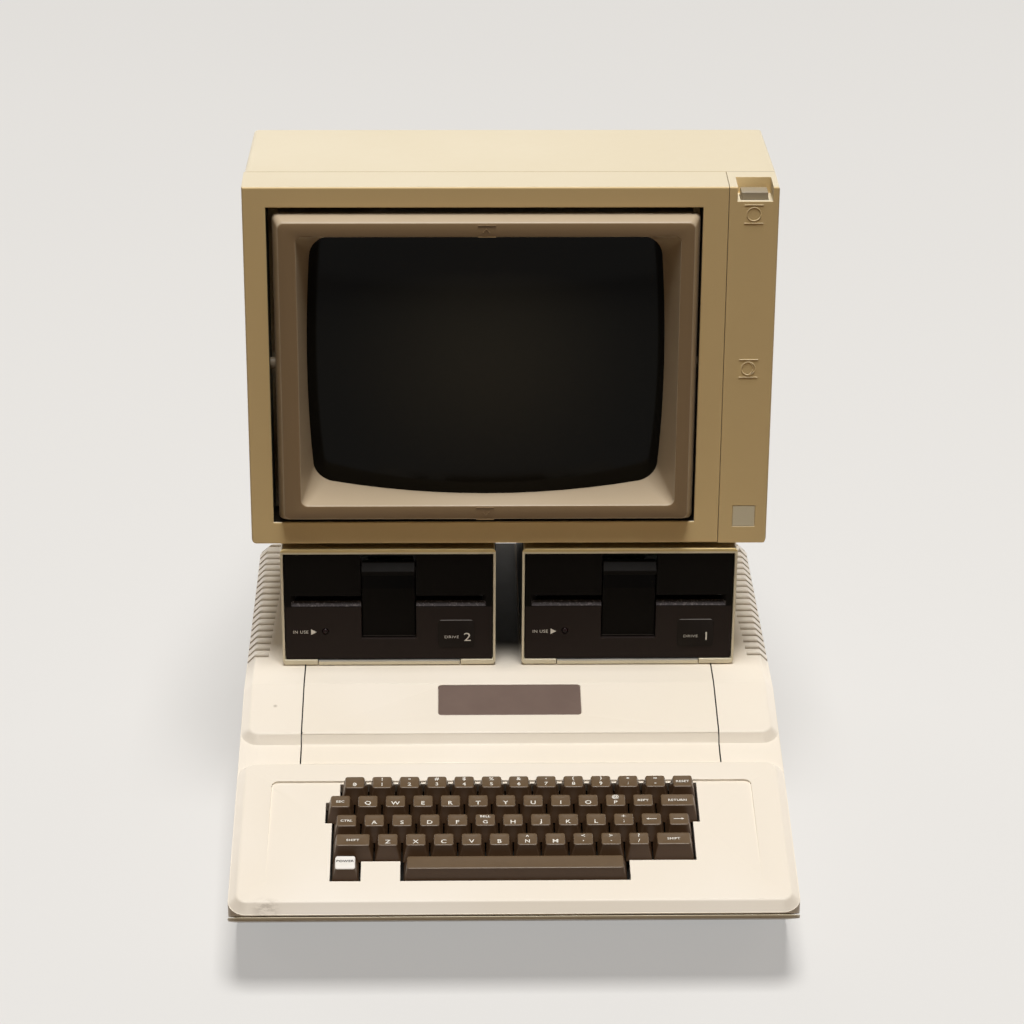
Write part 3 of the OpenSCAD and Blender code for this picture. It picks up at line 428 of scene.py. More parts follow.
switch_black = plastic("switch_black", "#17140f", "#0f0d0b", roughness=0.6, specular=0.15)
board_green = Finish("circuit_board", paint("#1f4a2c"), 0.35, coat=0.3)
board_track = board_green.noise(0.0012, 2.0, stretch=(1, 0.2, 1)).above(0.56, 0.02)
board_green.set(Base_Color=board_green.mix(paint("#1c4529"), paint("#2f6a3d"), board_track * 0.6))
board_green.relief(board_track, 0.00004)
dress("keyboard_plate", switch_black)
dress("keyboard_board", board_green)


# ---- Keys ----
# Each key is a hollow brown cap, moulded in two shots so that its white legend can't wear off.
# The caps lean back a little, with flat tops that are a touch hollow and softly rounded.
pitch = 19.05 * mm
gap = 0.95 * mm
taper = 2.5 * mm
skirt = 3 * mm
cap_top = 8 * mm
top_depth = 11.2 * mm
cap_lean = 2.1 * mm
row_place = [36.5 * mm + r * pitch + (0.2 * mm if r else 0) for r in range(5)]
corner_steps = 5
round_steps = 4


def rounded_ring(form, half_x, low_y, high_y, radius, z):
    """Points of a rounded rectangle, in order."""
    points = []
    for side_x, side_y, start in ((1, 1, 0), (-1, 1, 90), (-1, -1, 180), (1, -1, 270)):
        middle_x = side_x * (half_x - radius)
        middle_y = (high_y - radius) if side_y > 0 else (low_y + radius)
        for step in range(corner_steps + 1):
            a = math.radians(start + 90 * step / corner_steps)
            points.append((middle_x + radius * math.cos(a), middle_y + radius * math.sin(a), z))
    return [form.verts.new(p) for p in points]


def bridge(form, lower, upper, material=0):
    """A closed band of faces between two rings with as many points each."""
    for i in range(len(lower)):
        j = (i + 1) % len(lower)
        face = form.faces.new((lower[i], lower[j], upper[j], upper[i]))
        face.material_index = material


def stem(form, top):
    """The round plunger under a cap."""
    radius, bottom, sides = 2.5 * mm, -9.5 * mm, 20
    turn = [2 * math.pi * i / sides for i in range(sides)]
    round_it = [(radius * math.cos(a), radius * math.sin(a)) for a in turn]
    loops = [[form.verts.new((*spot, z)) for spot in round_it] for z in (bottom, top)]
    bridge(form, *loops)
    form.faces.new(loops[0])
    form.faces.new(loops[1])


def cap(form, place, units, top=cap_top, lean=cap_lean, depth=top_depth, dish=0.3 * mm, shot=0):
    """One hollow key cap with its plunger, added to form at place on the deck. It is so many
    units wide, and shot is the material of its top."""
    half = (units * pitch - gap) / 2
    deep = (pitch - gap) / 2
    edge, wall, inner_corner = 0.75 * mm, 1.3 * mm, 0.6 * mm
    start = len(form.verts)
    rings = []
    for part in (0.0, 0.5, 1.0):
        z = -skirt + part * (top - edge + skirt)
        t = (z + skirt) / (top + skirt)
        low = -deep + t * (lean - depth / 2 + deep)
        high = deep + t * (lean + depth / 2 - deep)
        rings.append((half - t * taper, low, high, 0.8 * mm + t * 0.9 * mm, z))
    x, low, high, r, z = rings[2]
    for step in range(1, round_steps + 1):
        a = math.radians(90 * step / round_steps)
        inset = edge * (1 - math.cos(a))
        corner = max(r - inset, 0.7 * mm)
        rings.append((x - inset, low + inset, high - inset, corner, z + edge * math.sin(a)))
    made = [rounded_ring(form, *ring) for ring in rings]
    for i in range(len(made) - 1):
        bridge(form, made[i], made[i + 1], shot if i >= 2 else 0)
    x, low, high, r, z = rings[-1]
    middle = (low + high) / 2
    previous = made[-1]
    for share in (0.85, 0.6, 0.3):
        loop = []
        for vert in made[-1]:
            spot = Vector((vert.co.x * share, middle + (vert.co.y - middle) * share, z))
            across = abs(vert.co.y - middle) * share / (high - middle)
            spot.z -= dish * (1 - across**2) * min(1.0, (1 - share) * 2.5)
            loop.append(form.verts.new(spot))
        bridge(form, previous, loop, shot)
        previous = loop
    form.faces.new(previous).material_index = shot
    inner_low = rounded_ring(form, half - wall, -deep + wall, deep - wall, inner_corner, -skirt)
    x, low, high, r, z = rings[2]
    inner_top = rounded_ring(form, x - wall, low + wall, high - wall, inner_corner, z - wall)
    bridge(form, inner_low, made[0])
    bridge(form, inner_top, inner_low)
    form.faces.new(inner_top)
    stem(form, z - wall)
    form.verts.ensure_lookup_table()
    for vert in form.verts[start:]:
        vert.co = deck @ (Vector(place) + vert.co)


def upward(made):
    """1 on faces that look up, 0 on upright walls."""
    facing = made.node("SeparateXYZ", {}, {0: made.node("TexCoord", output="Normal")}, output=2)
    return facing.above(0.55, 0.25)


key_brown = Finish("key_brown", paint("#6d5944"), 0.34)
key_rub = key_brown.noise(0.006, 4.0, 0.6)
key_top = key_brown.mix(paint("#6b5740"), paint("#5a4731"), key_rub)
# The key walls are painted darker than the tops: painted shade.
key_brown.set(
    Base_Color=key_brown.mix(paint("#4a3522"), key_top, upward(key_brown)),
    Roughness=0.28 + 0.14 * key_rub,
)
key_brown.relief(key_brown.noise(0.00045, 2.0), 0.000012)
ink_white = Finish("legend_white", paint("#f1ece1"), 0.5)
ink_white.set(Base_Color=ink_white.mix(paint("#f6f2e9"), paint("#ddd6c8"), ink_white.noise(0.002, 3.0)))


def font_shapes(text, height, weight, wide):
    """The flat faces of a text in plain capitals, as lists of points round its middle."""
    capital_share, spread = 0.72, 1.12
    font = bpy.data.curves.new("mark", "FONT")
    font.body, font.resolution_u = text, 4
    font.size = height / capital_share
    font.space_character = spread
    font.offset = weight
    carrier = bpy.data.objects.new("mark", font)
    bpy.context.scene.collection.objects.link(carrier)
    shape = carrier.to_mesh()
    spots = [Vector((v.co.x * wide, v.co.y)) for v in shape.vertices]
    middle = Vector([(min(s[i] for s in spots) + max(s[i] for s in spots)) / 2 for i in (0, 1)])
    faces = [[spots[i] - middle for i in face.vertices] for face in shape.polygons]
    carrier.to_mesh_clear()
    bpy.data.objects.remove(carrier)
    bpy.data.curves.remove(font)
    return faces


def arrow_shapes(direction):
    """An arrow to the right (1) or to the left (-1)."""
    length, bar, head = 7.4 * mm, 0.55 * mm, 2.0 * mm
    tip = direction * length / 2
    neck = tip - direction * head
    return [
        [Vector(p) for p in ((-tip, -bar / 2), (neck, -bar / 2), (neck, bar / 2), (-tip, bar / 2))],
        [Vector(p) for p in ((neck, -head * 0.45), (tip, 0.0), (neck, head * 0.45))],
    ]


def printed(name, marks, finish, body, plane, weight=0.07 * mm, wide=1.15, lift=0.03 * mm):
    """Flat marks laid on a plane. marks lists (text or shapes, x, y, height). weight thickens
    the strokes, wide stretches the letters, and lift keeps them clear of what is under them."""
    form = bmesh.new()
    for what, x, y, height in marks:
        shapes = font_shapes(what, height, weight, wide) if isinstance(what, str) else what
        for points in shapes:
            form.faces.new([form.verts.new(plane @ Vector((x + p.x, y + p.y, lift))) for p in points])
    bmesh.ops.remove_doubles(form, verts=form.verts, dist=0.001 * mm)
    mesh = bpy.data.meshes.new(name)
    form.to_mesh(mesh)
    form.free()
    return piece(name, mesh, finish, body)


low_mark, high_mark, word_mark = -2.2 * mm, 2.9 * mm, -0.4 * mm
big, small, word = 3.5 * mm, 3.1 * mm, 2.0 * mm


def letters(text):
    """Caps with one letter each."""
    return [[(mark, low_mark, big)] for mark in text]


def pairs(above, below):
    """Caps with two signs each, one above the other."""
    return [[(one, high_mark, small), (two, low_mark, small)] for one, two in zip(above, below)]


def label(text):
    """A cap with one word."""
    return [(text, word_mark, word)]


zero = letters("0")[0] + [("/", low_mark, small)]
bell = [("BELL", 3.2 * mm, word), ("G", low_mark, small)]
rows = {
    "number_row_keys": (4, -5.75, [zero, *pairs("!\"#$%&'()*=", "123456789:-")]),
    "upper_row_keys": (3, -5.25, letters("QWERTYUIO") + pairs("@", "P")),
    "home_row_keys": (2, -5, [*letters("ASDF"), bell, *letters("HJKL"), *pairs("+", ";")]),
    "lower_row_keys": (1, -4.5, letters("ZXCVB") + pairs("^", "N") + letters("M") + pairs("<>?", ",./")),
    "escape_key": (3, -6.25, [label("ESC")]),
    "repeat_key": (3, 4.75, [label("REPT")]),
    "return_key": (3, 6, [label("RETURN")]),
    "reset_key": (4, 6.25, [label("RESET")]),
    "control_key": (2, -6, [label("CTRL")]),
    "left_arrow_key": (2, 5, [[(arrow_shapes(-1), 0.0, 0)]]),
    "right_arrow_key": (2, 6, [[(arrow_shapes(1), 0.0, 0)]]),
    "left_shift_key": (1, -5.75, [label("SHIFT")]),
    "right_shift_key": (1, 5.75, [label("SHIFT")]),
}
wide_keys = ("return_key", "left_shift_key", "right_shift_key")
cap_face = deck @ Matrix.Translation((0, cap_lean, cap_top))
for node, (row, first, texts) in rows.items():
    name = node.replace("_keys", "_row").replace("_key", "")
    form = bmesh.new()
    marks = []
    for step, text in enumerate(texts):
        column = (first + step) * pitch
        cap(form, (column, row_place[row], 0), 1.5 if node in wide_keys else 1)
        marks += [(what, column, row_place[row] + off, high) for what, off, high in text]
    piece(name + "_caps", finished(name, form, 50), key_brown, body_of(node), slot_of(node), [node])
    printed(name + "_legends", marks, ink_white, body_of(node), cap_face)
bar_top = 6.5 * mm
bar_depth = top_depth + 0.6 * mm
bar_place = (0.9 * mm, row_place[0], 0)
form = bmesh.new()
cap(form, bar_place, 8, bar_top, lean=0.6 * mm, depth=bar_depth, dish=0.1 * mm)
mesh = finished("space_bar", form, 50)
piece("space_bar_cap", mesh, key_brown, "space", slot_of("space_bar"), ["space_bar"])


# ---- Power lamp cap ----
# A white translucent cap stands over a lamp in the line of the space bar. It is fixed, and its
# skirt is brown like the keys.
lamp_white = Finish("lamp_white", paint("#f5f0e9"), 0.35)
lamp_white.set(Base_Color=lamp_white.mix(paint("#f8f4ee"), paint("#e6dfd4"), lamp_white.noise(0.004, 3.0)))
ink_black = Finish("legend_black", paint("#1d1a18"), 0.5)
ink_black.set(Roughness=0.45 + 0.1 * ink_black.noise(0.002))
power_place = Vector((-6 * pitch, row_place[0], 0))
power_lean = 1.2 * mm
form = bmesh.new()
cap(form, power_place, 1, bar_top, lean=power_lean, depth=bar_depth, dish=0.2 * mm, shot=1)
mesh = finished("power_cap", form, 50)
shots = [key_brown, lamp_white]
piece("power_cap", mesh, shots, "root", slot_of("power_lamp_cap"), ["power_lamp_cap"])
power_face = deck @ Matrix.Translation((0, power_lean, bar_top))
marks = [("POWER", power_place.x, power_place.y + 1.0 * mm, word)]
printed("power_legend", marks, ink_black, "root", power_face)


# ---- Inside the case ----
# Main board on standoffs with its sockets and one card, the power supply in its steel box with
# the rocker and the inlet in its end, and the loudspeaker under the keyboard.
for node in ("main_board", "controller_card"):
    dress(node, board_green)
dress("expansion_sockets", switch_black)
dress("power_supply", plated)
speaker_cone = plastic("speaker_cone", "#1c1a18", "#2a2622", roughness=0.8)
dress("speaker", speaker_cone)
eased("mains_switch", switch_black, 0.4 * mm)
eased("mains_inlet", switch_black, 0.3 * mm)
eased("rear_jacks", plated, 0.3 * mm)


# ---- Disk drives ----
# Each drive is a folded steel cover round a cast chassis, with a black moulded front. A door on
# a hinge pin closes the slot, and a red lamp shows when the disk turns.
drive_low, drive_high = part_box("left_drive_cover")
drive_middle = -(drive_low.x + drive_high.x) / 2
drive_front, drive_foot = drive_low.y, drive_low.z
door_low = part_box("left_drive_door")[0].z
door_half = 19.6 * mm
ledge_low, ledge_high = drive_foot + 47.4 * mm, drive_foot + 51.1 * mm
# Heights of the painted shadow under the door's overhang.
shadow_low, shadow_high = drive_foot + 61 * mm, drive_foot + 73.4 * mm
label_x, label_z = 49.2 * mm, 25.0 * mm
label_half_x, label_half_z, label_thick = 13.4 * mm, 11.4 * mm, 0.25 * mm


def painted_drive_shade(made, tone):
    """Painted shade darkens the two sides that stand close together and the top under the monitor, and lays
    a darker yellow band along the top of the front.
    """
    between = 1 - abs(made.along("X")).above(10.5 * mm, 0.3 * mm)
    top_shade = made.along("Z").above(drive_high.z - 0.5 * mm, 0.2 * mm)
    behind = made.along("Y").above(drive_front + 1.2 * mm, 0.6 * mm)
    rim_shade = made.along("Z").above(drive_high.z - 2.2 * mm, 0.4 * mm) * (1 - behind)
    tone = made.mix(tone, paint("#e2c98a"), rim_shade)
    return made.mix(tone, made.mix(paint("#9a8357"), paint("#241f18"), between), (between + top_shade) * behind)


cover_paint = painted_steel("drive_cover_paint", "#ebe0c4", "#dccfae", roughness=0.4, extra=painted_drive_shade)


def speckle_and_painted_light(made, tone):
    """The chamfer below the disk slot is grey and speckled. The panel under it is painted lighter,
    standing in for light bounced up from the deck; the door gets a painted shadow under its overhang and a
    painted highlight along its lower edge."""
    across = abs(abs(made.along("X")) - drive_middle)
    height = made.along("Z")
    beside_door = across.above(door_half, 0.2 * mm)
    under_door = 1 - height.above(door_low, 0.1 * mm)
    panel = (beside_door + under_door).above(0.5, 0.1)
    # The lower panel is painted lighter: painted light.
    lower = 1 - height.above(ledge_low - 0.1 * mm, 0.1 * mm)
    tone = made.mix(tone, paint("#2f2825"), lower * panel)
    # A painted shadow under the door's overhang.
    overhang_shadow = height.within(shadow_low, shadow_high, 0.4 * mm) * (1 - panel)
    tone = made.mix(tone, paint("#040303"), overhang_shadow * 0.9)
    # A painted highlight along the door's lower edge.
    door_edge_highlight = height.within(door_low - 0.1 * mm, door_low + 1.0 * mm, 0.2 * mm) * (1 - beside_door)
    tone = made.mix(tone, paint("#5b5653"), door_edge_highlight * 0.7)
    deep = made.along("Y").within(drive_front + 1.25 * mm, drive_front + 4.6 * mm, 0.1 * mm)
    ledge = deep * height.within(ledge_low, ledge_high, 0.1 * mm) * across.above(20 * mm, 0.1 * mm)
    speck = made.noise(0.0009, 2.0, 0.7).above(0.58, 0.05)
    return made.mix(tone, made.mix(paint("#4f4a4b"), paint("#8f8783"), speck * 0.55), ledge)


drive_black = plastic(
    "drive_black", "#0d0a08", "#120f0c", grain=0.0008, depth=0.00005, specular=0.04, extra=speckle_and_painted_light
)
cast_metal = Finish("cast_metal", paint("#b3b2ae"), 0.5, metallic=1.0)
bare = cast_metal.along("Z").above(drive_foot + 2.6 * mm, 0.1 * mm)
bloom = cast_metal.noise(0.02, 4.0)
cast_grey = cast_metal.mix(paint("#8f8e8a"), paint("#bdbcb8"), bloom)
cast_metal.set(
    Base_Color=cast_metal.mix(paint("#ebe0c4"), cast_grey, bare),
    Metallic=bare,
    Roughness=0.4 + 0.15 * bloom,
)
cast_metal.relief(cast_metal.noise(0.0012, 3.0), 0.00003)
motor_metal = bare_metal("motor_metal", "#a5a3a0", roughness=0.3)
lamp_red = Finish("lamp_red", paint("#1c0605"), 0.2, specular=0.15)
lamp_red.set(Roughness=0.15 + 0.1 * lamp_red.noise(0.001))
label_black = Finish("label_black", paint("#26211e"), 0.45, specular=0.05)
# A painted highlight along the label plate's top edge.
label_highlight = label_black.along("Z").above(drive_foot + label_z + label_half_z - 0.4 * mm, 0.2 * mm)
label_black.set(
    Base_Color=label_black.mix(paint("#26211e"), paint("#8d8986"), label_highlight),
    Roughness=0.4 + 0.12 * label_black.noise(0.003),
)


def plaque(name, plane, middle, half_x, half_y, corner, thick, finish):
    """A thin plate with round corners and a softened edge, stuck on a plane of the root body."""
    form = bmesh.new()
    rings = []
    for inset, out in ((0, 0), (0, 0.6 * thick), (0.35 * thick, thick)):
        reach = half_y - inset
        rings.append(rounded_ring(form, half_x - inset, -reach, reach, corner, out))
    for lower, upper in zip(rings, rings[1:]):
        bridge(form, lower, upper)
    form.faces.new(rings[0])
    form.faces.new(rings[-1])
    for vert in form.verts:
        vert.co = plane @ (Vector((*middle, 0)) + vert.co)
    return piece(name, finished(name, form, 40), finish, "root")


pointer_tip, pointer_back, pointer_half = 2.2 * mm, -2.0 * mm, 2.3 * mm
corners = ((pointer_back, -pointer_half), (pointer_tip, 0.0), (pointer_back, pointer_half))
pointer = [[Vector(p) for p in corners]]
upright = Matrix.Rotation(math.pi / 2, 4, "X")
lamp_line, number_line = 26.7 * mm, 22.4 * mm
plate = (label_x, label_z), label_half_x, label_half_z, 3 * mm, label_thick
proud = label_thick + 0.03 * mm
for side, number in (("left", "2"), ("right", "1")):
    eased(f"{side}_drive_cover", cover_paint, 0.45 * mm)
    eased(f"{side}_drive_bezel", drive_black, 0.4 * mm)
    eased(f"{side}_drive_door", drive_black, 0.5 * mm)
    for part in ("chassis", "hub", "head"):
        dress(f"{side}_drive_{part}", cast_metal)
    dress(f"{side}_drive_motor", motor_metal)
    dress(f"{side}_drive_board", board_green)
    centre = drive_middle * (-1 if side == "left" else 1)
    panel = Matrix.Translation((centre, drive_front + 1 * mm, drive_foot)) @ upright
    plaque(f"{side}_drive_label", panel, *plate, label_black)
    marks = [("IN USE", -64.4 * mm, lamp_line, 2.5 * mm), (pointer, -54.9 * mm, lamp_line, 0)]
    printed(f"{side}_drive_lamp_print", marks, ink_white, "root", panel, 0.01 * mm, 1.0)
    marks = [("DRIVE", 46.0 * mm, number_line, 2.2 * mm), (number, 57.4 * mm, number_line, 7.0 * mm)]
    printed(f"{side}_drive_number", marks, ink_white, "root", panel, -0.03 * mm, 1.2, proud)
dress("drive_lamps", lamp_red)
eased("drive_feet", foot_rubber, 0.3 * mm)


# ---- Monitor housing and front ----
# The housing is one deep moulding that narrows to the back and carries the control strip on the
# right. A separate surround closes the rest of the front, and small signs stand in relief.
monitor_foot = nose + 249.7 * mm
monitor_base = 214.9 * mm
lean = Matrix.Translation((0, monitor_foot, monitor_base)) @ Matrix.Rotation(math.radians(-3), 4, "X")
on_front = lean.inverted()
half_wide = 185.5 * mm
tall = 267 * mm
strip_edge = 150.4 * mm
front_deep = 31 * mm
button_x = 168.7 * mm
wheel_deep = 18 * mm
seam_y = monitor_foot + 45.24 * mm


def monitor_edge(middle, edge):
    """Soft outer corners, crisp seams, and small radii round the pocket, slots and sockets."""
    x, y, z = on_front @ middle
    seam = abs(y - front_deep) < 1 * mm or abs(x - strip_edge) < 0.8 * mm
    pocket = abs(x - button_x) < 12.6 * mm and y < 21 * mm and z > tall - 21 * mm
    emblem = abs(x - button_x) < 9 * mm and y < 2 * mm and z < 30 * mm
    wheel = x > 150 * mm and abs(y - wheel_deep) < 14.5 * mm and abs(z - tall / 2) < 7 * mm
    slots = abs(x) < 99 * mm and y > 150 * mm and z > 120 * mm
    sockets = abs(x) < 80 * mm and y > 320 * mm
    if seam or pocket or emblem or wheel or slots or sockets:
        return 0.25 * mm
    central = -half_wide + 5 * mm < x < strip_edge - 5 * mm and 5 * mm < z < tall - 5 * mm
    if central and abs(y) < 0.5 * mm:
        return 0.7 * mm
    inside = 0.5 * mm < y < 115 * mm and abs(x) < half_wide - 2.4 * mm and 2 * mm < z < tall - 2 * mm
    if inside:
        return 0.2 * mm
    lengthwise = abs((edge.verts[1].co - edge.verts[0].co).normalized().y) > 0.8
    return 4 * mm if lengthwise else 1.4 * mm


def depth_in(made):
    """How far a point lies behind the monitor's leaning front."""
    inwards = lean.col[1].to_3d()
    deep = made.vector("DOT_PRODUCT", made.place(), inwards, "Value")
    return deep - lean.translation.dot(inwards)


def painted_shade_and_seam_dirt(made, tone):
    """The front faces are painted a darker yellow than the top, as painted shade. Dirt sits in the seam, and
    the inside of the opening is painted dark, as painted shade.
    """
    normal = made.node("TexCoord", output="Normal")
    # Painted shade: faces that look forward get a darker yellow.
    front = made.vector("DOT_PRODUCT", normal, (0, -1, 0), "Value").above(0.45, 0.25)
    tone = made.mix(tone, paint("#e6ca93"), front)
    seam = made.along("Y").within(seam_y - 0.45 * mm, seam_y + 0.45 * mm, 0.15 * mm) * upward(made)
    tone = made.mix(tone, paint("#86714a"), seam * (0.35 + 0.5 * made.noise(0.08, 2.0)))
    # Painted shade: the inside of the opening is dark.
    deep = depth_in(made).within(1.3 * mm, 80 * mm, 0.4 * mm)
    across = made.along("X").within(4 * mm - half_wide, strip_edge - 4 * mm, 0.1 * mm)
    low, high = monitor_base + 5 * mm, monitor_base + tall - 7 * mm
    return made.mix(tone, paint("#1a130a"), deep * across * made.along("Z").within(low, high, 0.1 * mm))


monitor_plastic = plastic("monitor_plastic", "#e4d9c0", "#dacdb0", roughness=0.46, extra=painted_shade_and_seam_dirt)
eased("monitor_housing", monitor_plastic, monitor_edge)
eased("monitor_front", monitor_plastic, monitor_edge)
button_grey = plastic("button_grey", "#a89d88", "#9c907a", roughness=0.4)
eased("monitor_switch", button_grey, 0.6 * mm)
dress("brightness_wheel", monitor_plastic)
emblem_plate = Finish("emblem_plate", paint("#cfc3a6"), 0.35, metallic=0.2)
emblem_plate.set(Roughness=0.3 + 0.15 * emblem_plate.noise(0.002))
eased("monitor_emblem", emblem_plate, 0.15 * mm)
eased("monitor_feet", foot_rubber, 0.6 * mm)
eased("monitor_jacks", switch_black, 0.3 * mm)
dress("monitor_board", board_green)


def relief_signs(name, strokes, plane, finish, body, width=0.6 * mm, height=0.4 * mm):
    """Signs moulded in relief. Each stroke lists its points and tells whether it closes."""
    form = bmesh.new()
    for points, closed in strokes:
        points = [Vector(p) for p in points]
        rings = []
        for i, here in enumerate(points):
            before = points[i - 1] if closed or i else here
            after = points[(i + 1) % len(points)] if closed or i + 1 < len(points) else here
            ahead = (after - before).normalized()
            aside = Vector((-ahead.y, ahead.x)) * width / 2
            ring = []
            for out, up in ((1, -0.25), (0.55, 1), (-0.55, 1), (-1, -0.25)):
                spot = here + aside * out
                ring.append(form.verts.new(plane @ Vector((spot.x, spot.y, height * up))))
            rings.append(ring)
        following = rings[1:] + (rings[:1] if closed else [])
        for one, other in zip(rings, following):
            bridge(form, one, other)
        if not closed:
            form.faces.new(rings[0])
            form.faces.new(rings[-1])
    return piece(name, finished(name, form, 50), finish, body)


def arc(middle, radius, start, end, steps=28):
    """Points along an arc, from start to end in degrees."""
    turns = [math.radians(start + (end - start) * i / steps) for i in range(steps + 1)]
    return [(middle[0] + radius * math.cos(a), middle[1] + radius * math.sin(a)) for a in turns]


def ring_sign(middle, radius):
    """One closed round stroke."""
    return [(arc(middle, radius, 0, 360)[:-1], True)]


def two_bars(middle, half_x, half_y):
    """A level bar above the middle and one below it."""
    x, z = middle
    return [([(x - half_x, z + up), (x + half_x, z + up)], False) for up in (half_y, -half_y)]


sign_middle, power_sign, light_sign = button_x - 0.6 * mm, 247.7 * mm, 134.1 * mm
strokes = []
for height in (power_sign, light_sign):
    strokes += two_bars((sign_middle, height), 6.6 * mm, 6.6 * mm)
    strokes += ring_sign((sign_middle, height), 4.8 * mm)
strokes += [(arc((sign_middle - 1.6 * mm, light_sign), 4.9 * mm, -62, 62, 12), False)]
relief_signs("control_signs", strokes, lean @ upright, monitor_plastic, "root")


# ---- Screen frame and picture tube ----
# The tube sits in a taupe frame that tilts on two side pins. A soft flare leads in to the round
# edge of its dark glass.
screen_x, screen_z = -16 * mm, 133.35 * mm
face_y = -8 * mm


def brown_face(made, tone):
    """The flat face of the frame is painted darker than its bevel and its flare."""
    face = 1 - depth_in(made).above(face_y + 0.25 * mm, 0.15 * mm)
    return made.mix(tone, paint("#8a7150"), face)


frame_plastic = plastic("screen_frame_plastic", "#bfad94", "#b5a286", roughness=0.38, extra=brown_face)
glass_y, glass_radius = -2 * mm, 500 * mm
corner_points, side_points, flare_steps = 9, 12, 6


def screen_loop(left, right, half_z, corner, bow=0.0):
    """Points round the screen's middle: a rounded rectangle whose sides may bow outwards."""
    corners = []
    for side_x, side_z, start in ((1, 1, 0), (-1, 1, 90), (-1, -1, 180), (1, -1, 270)):
        middle = Vector((side_x * ((right if side_x > 0 else left) - corner), side_z * (half_z - corner)))
        turns = [math.radians(start + 90 * i / (corner_points - 1)) for i in range(corner_points)]
        corners.append([middle + corner * Vector((math.cos(a), math.sin(a))) for a in turns])
    points = []
    for here, following in zip(corners, corners[1:] + corners[:1]):
        points += here
        points += [here[-1].lerp(following[0], i / side_points) for i in range(1, side_points)]
    bent = []
    for x, z in points:
        half_x = right if x > 0 else left
        bent.append(Vector((x * (1 - bow * z * z / half_x), z * (1 - bow * x * x / half_z))))
    return bent


def glass_depth(spot):
    """How far back the glass lies at a point, in the monitor's own frame."""
    return glass_y + glass_radius - math.sqrt(glass_radius**2 - spot.length_squared)


def plane_loop(depth, *shape):
    """A screen loop that lies flat, so deep behind the monitor's front."""
    return [Vector((p.x, depth, p.y)) for p in screen_loop(*shape)]


def pin(form, start, end, radius, depth):
    """One of the frame's side pins."""
    sides = 24
    turns = [2 * math.pi * i / sides for i in range(sides)]
    loops = []
    for x in (start, end):
        spots = [(x, depth + radius * math.cos(a), screen_z + radius * math.sin(a)) for a in turns]
        loops.append([form.verts.new(lean @ Vector(p)) for p in spots])
    bridge(form, *loops)
    form.faces.new(loops[0])
    form.faces.new(loops[1])


frame_back, collar = 45 * mm, 4
glass_corner, bow, clear = 13 * mm, 1 / 2.6, 0.1 * mm
outer = (146.3 * mm, 144.5 * mm, 111.8 * mm, 4 * mm)
loops = [plane_loop(frame_back, *outer), plane_loop(collar * mm, *outer)]
for depth, half_x, half_z, corner in (
    (collar, 147.5, 114.8, 3.5),
    (3.4, 147.5, 114.8, 3.5),
    (-7.0, 143.7, 111.0, 4.2),
    (-7.7, 143.2, 110.5, 4.2),
    (-8, 142.3, 109.6, 4.2),
):
    loops.append(plane_loop(depth * mm, (half_x + 1.8) * mm, half_x * mm, half_z * mm, corner * mm))
for depth, spread in ((-8, 1.2), (-7.85, 0.6), (-7.4, 0.15), (-6.8, 0.0)):
    sizes = [side * mm + spread * mm for side in (132.5, 133.4, 100.3, 4.5)]
    loops.append(plane_loop(depth * mm, *sizes))
mouth = loops[-1]
throat = screen_loop(127.6 * mm, 125.6 * mm, 97.2 * mm, glass_corner, bow)
ledge = [Vector((p.x, glass_depth(p) - clear, p.y)) for p in throat]
for step in range(1, flare_steps + 1):
    loops.append([start.lerp(end, step / flare_steps) for start, end in zip(mouth, ledge)])
behind = screen_loop(130.1 * mm, 128.1 * mm, 99.7 * mm, glass_corner, bow)
loops.append([Vector((p.x, glass_depth(p) - clear, p.y)) for p in behind])
loops.append(plane_loop(glass_y, 135.5 * mm, 136.4 * mm, 103.3 * mm, 5 * mm))
inner = (143.3 * mm, 141.5 * mm, 108.8 * mm, 3 * mm)
loops += [plane_loop(glass_y, *inner), plane_loop(frame_back, *inner)]
form = bmesh.new()
rings = [[form.verts.new(lean @ (p + Vector((screen_x, 0, screen_z)))) for p in loop] for loop in loops]
for ring, following in zip(rings, rings[1:] + rings[:1]):
    bridge(form, ring, following)
frame_low, frame_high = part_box("screen_frame")
pin_radius, pin_deep = 4 * mm, 16 * mm
pin(form, frame_low.x, screen_x - 143.8 * mm, pin_radius, pin_deep)
pin(form, screen_x + 142 * mm, frame_high.x, pin_radius, pin_deep)
mesh = finished("screen_frame_form", form, 40)
piece("screen_frame_form", mesh, frame_plastic, "screen", slot_of("screen_frame"), ["screen_frame"])
on_face = lean @ Matrix.Translation((0, face_y, 0)) @ upright
sign_x, upper_sign, lower_sign = -17 * mm, 238.1 * mm, 26.9 * mm
strokes = two_bars((sign_x + 0.4 * mm, upper_sign), 6.2 * mm, 4.2 * mm)
strokes += two_bars((sign_x - 0.6 * mm, lower_sign), 6.4 * mm, 4.6 * mm)
for up, middle in ((1, upper_sign), (-1, lower_sign)):
    point = (sign_x, middle + up * 1.6 * mm)
    for aside in (-2.4 * mm, 2.4 * mm):
        strokes += [([(sign_x + aside, middle - up * 1.2 * mm), point], False)]
relief_signs("tilt_signs", strokes, on_face, frame_plastic, "screen", 0.6 * mm, 0.45 * mm)
tube_glass = Finish("tube_glass", paint("#0a0a08"), 0.1, specular=0.08)
smear = tube_glass.noise(0.05, 3.0)
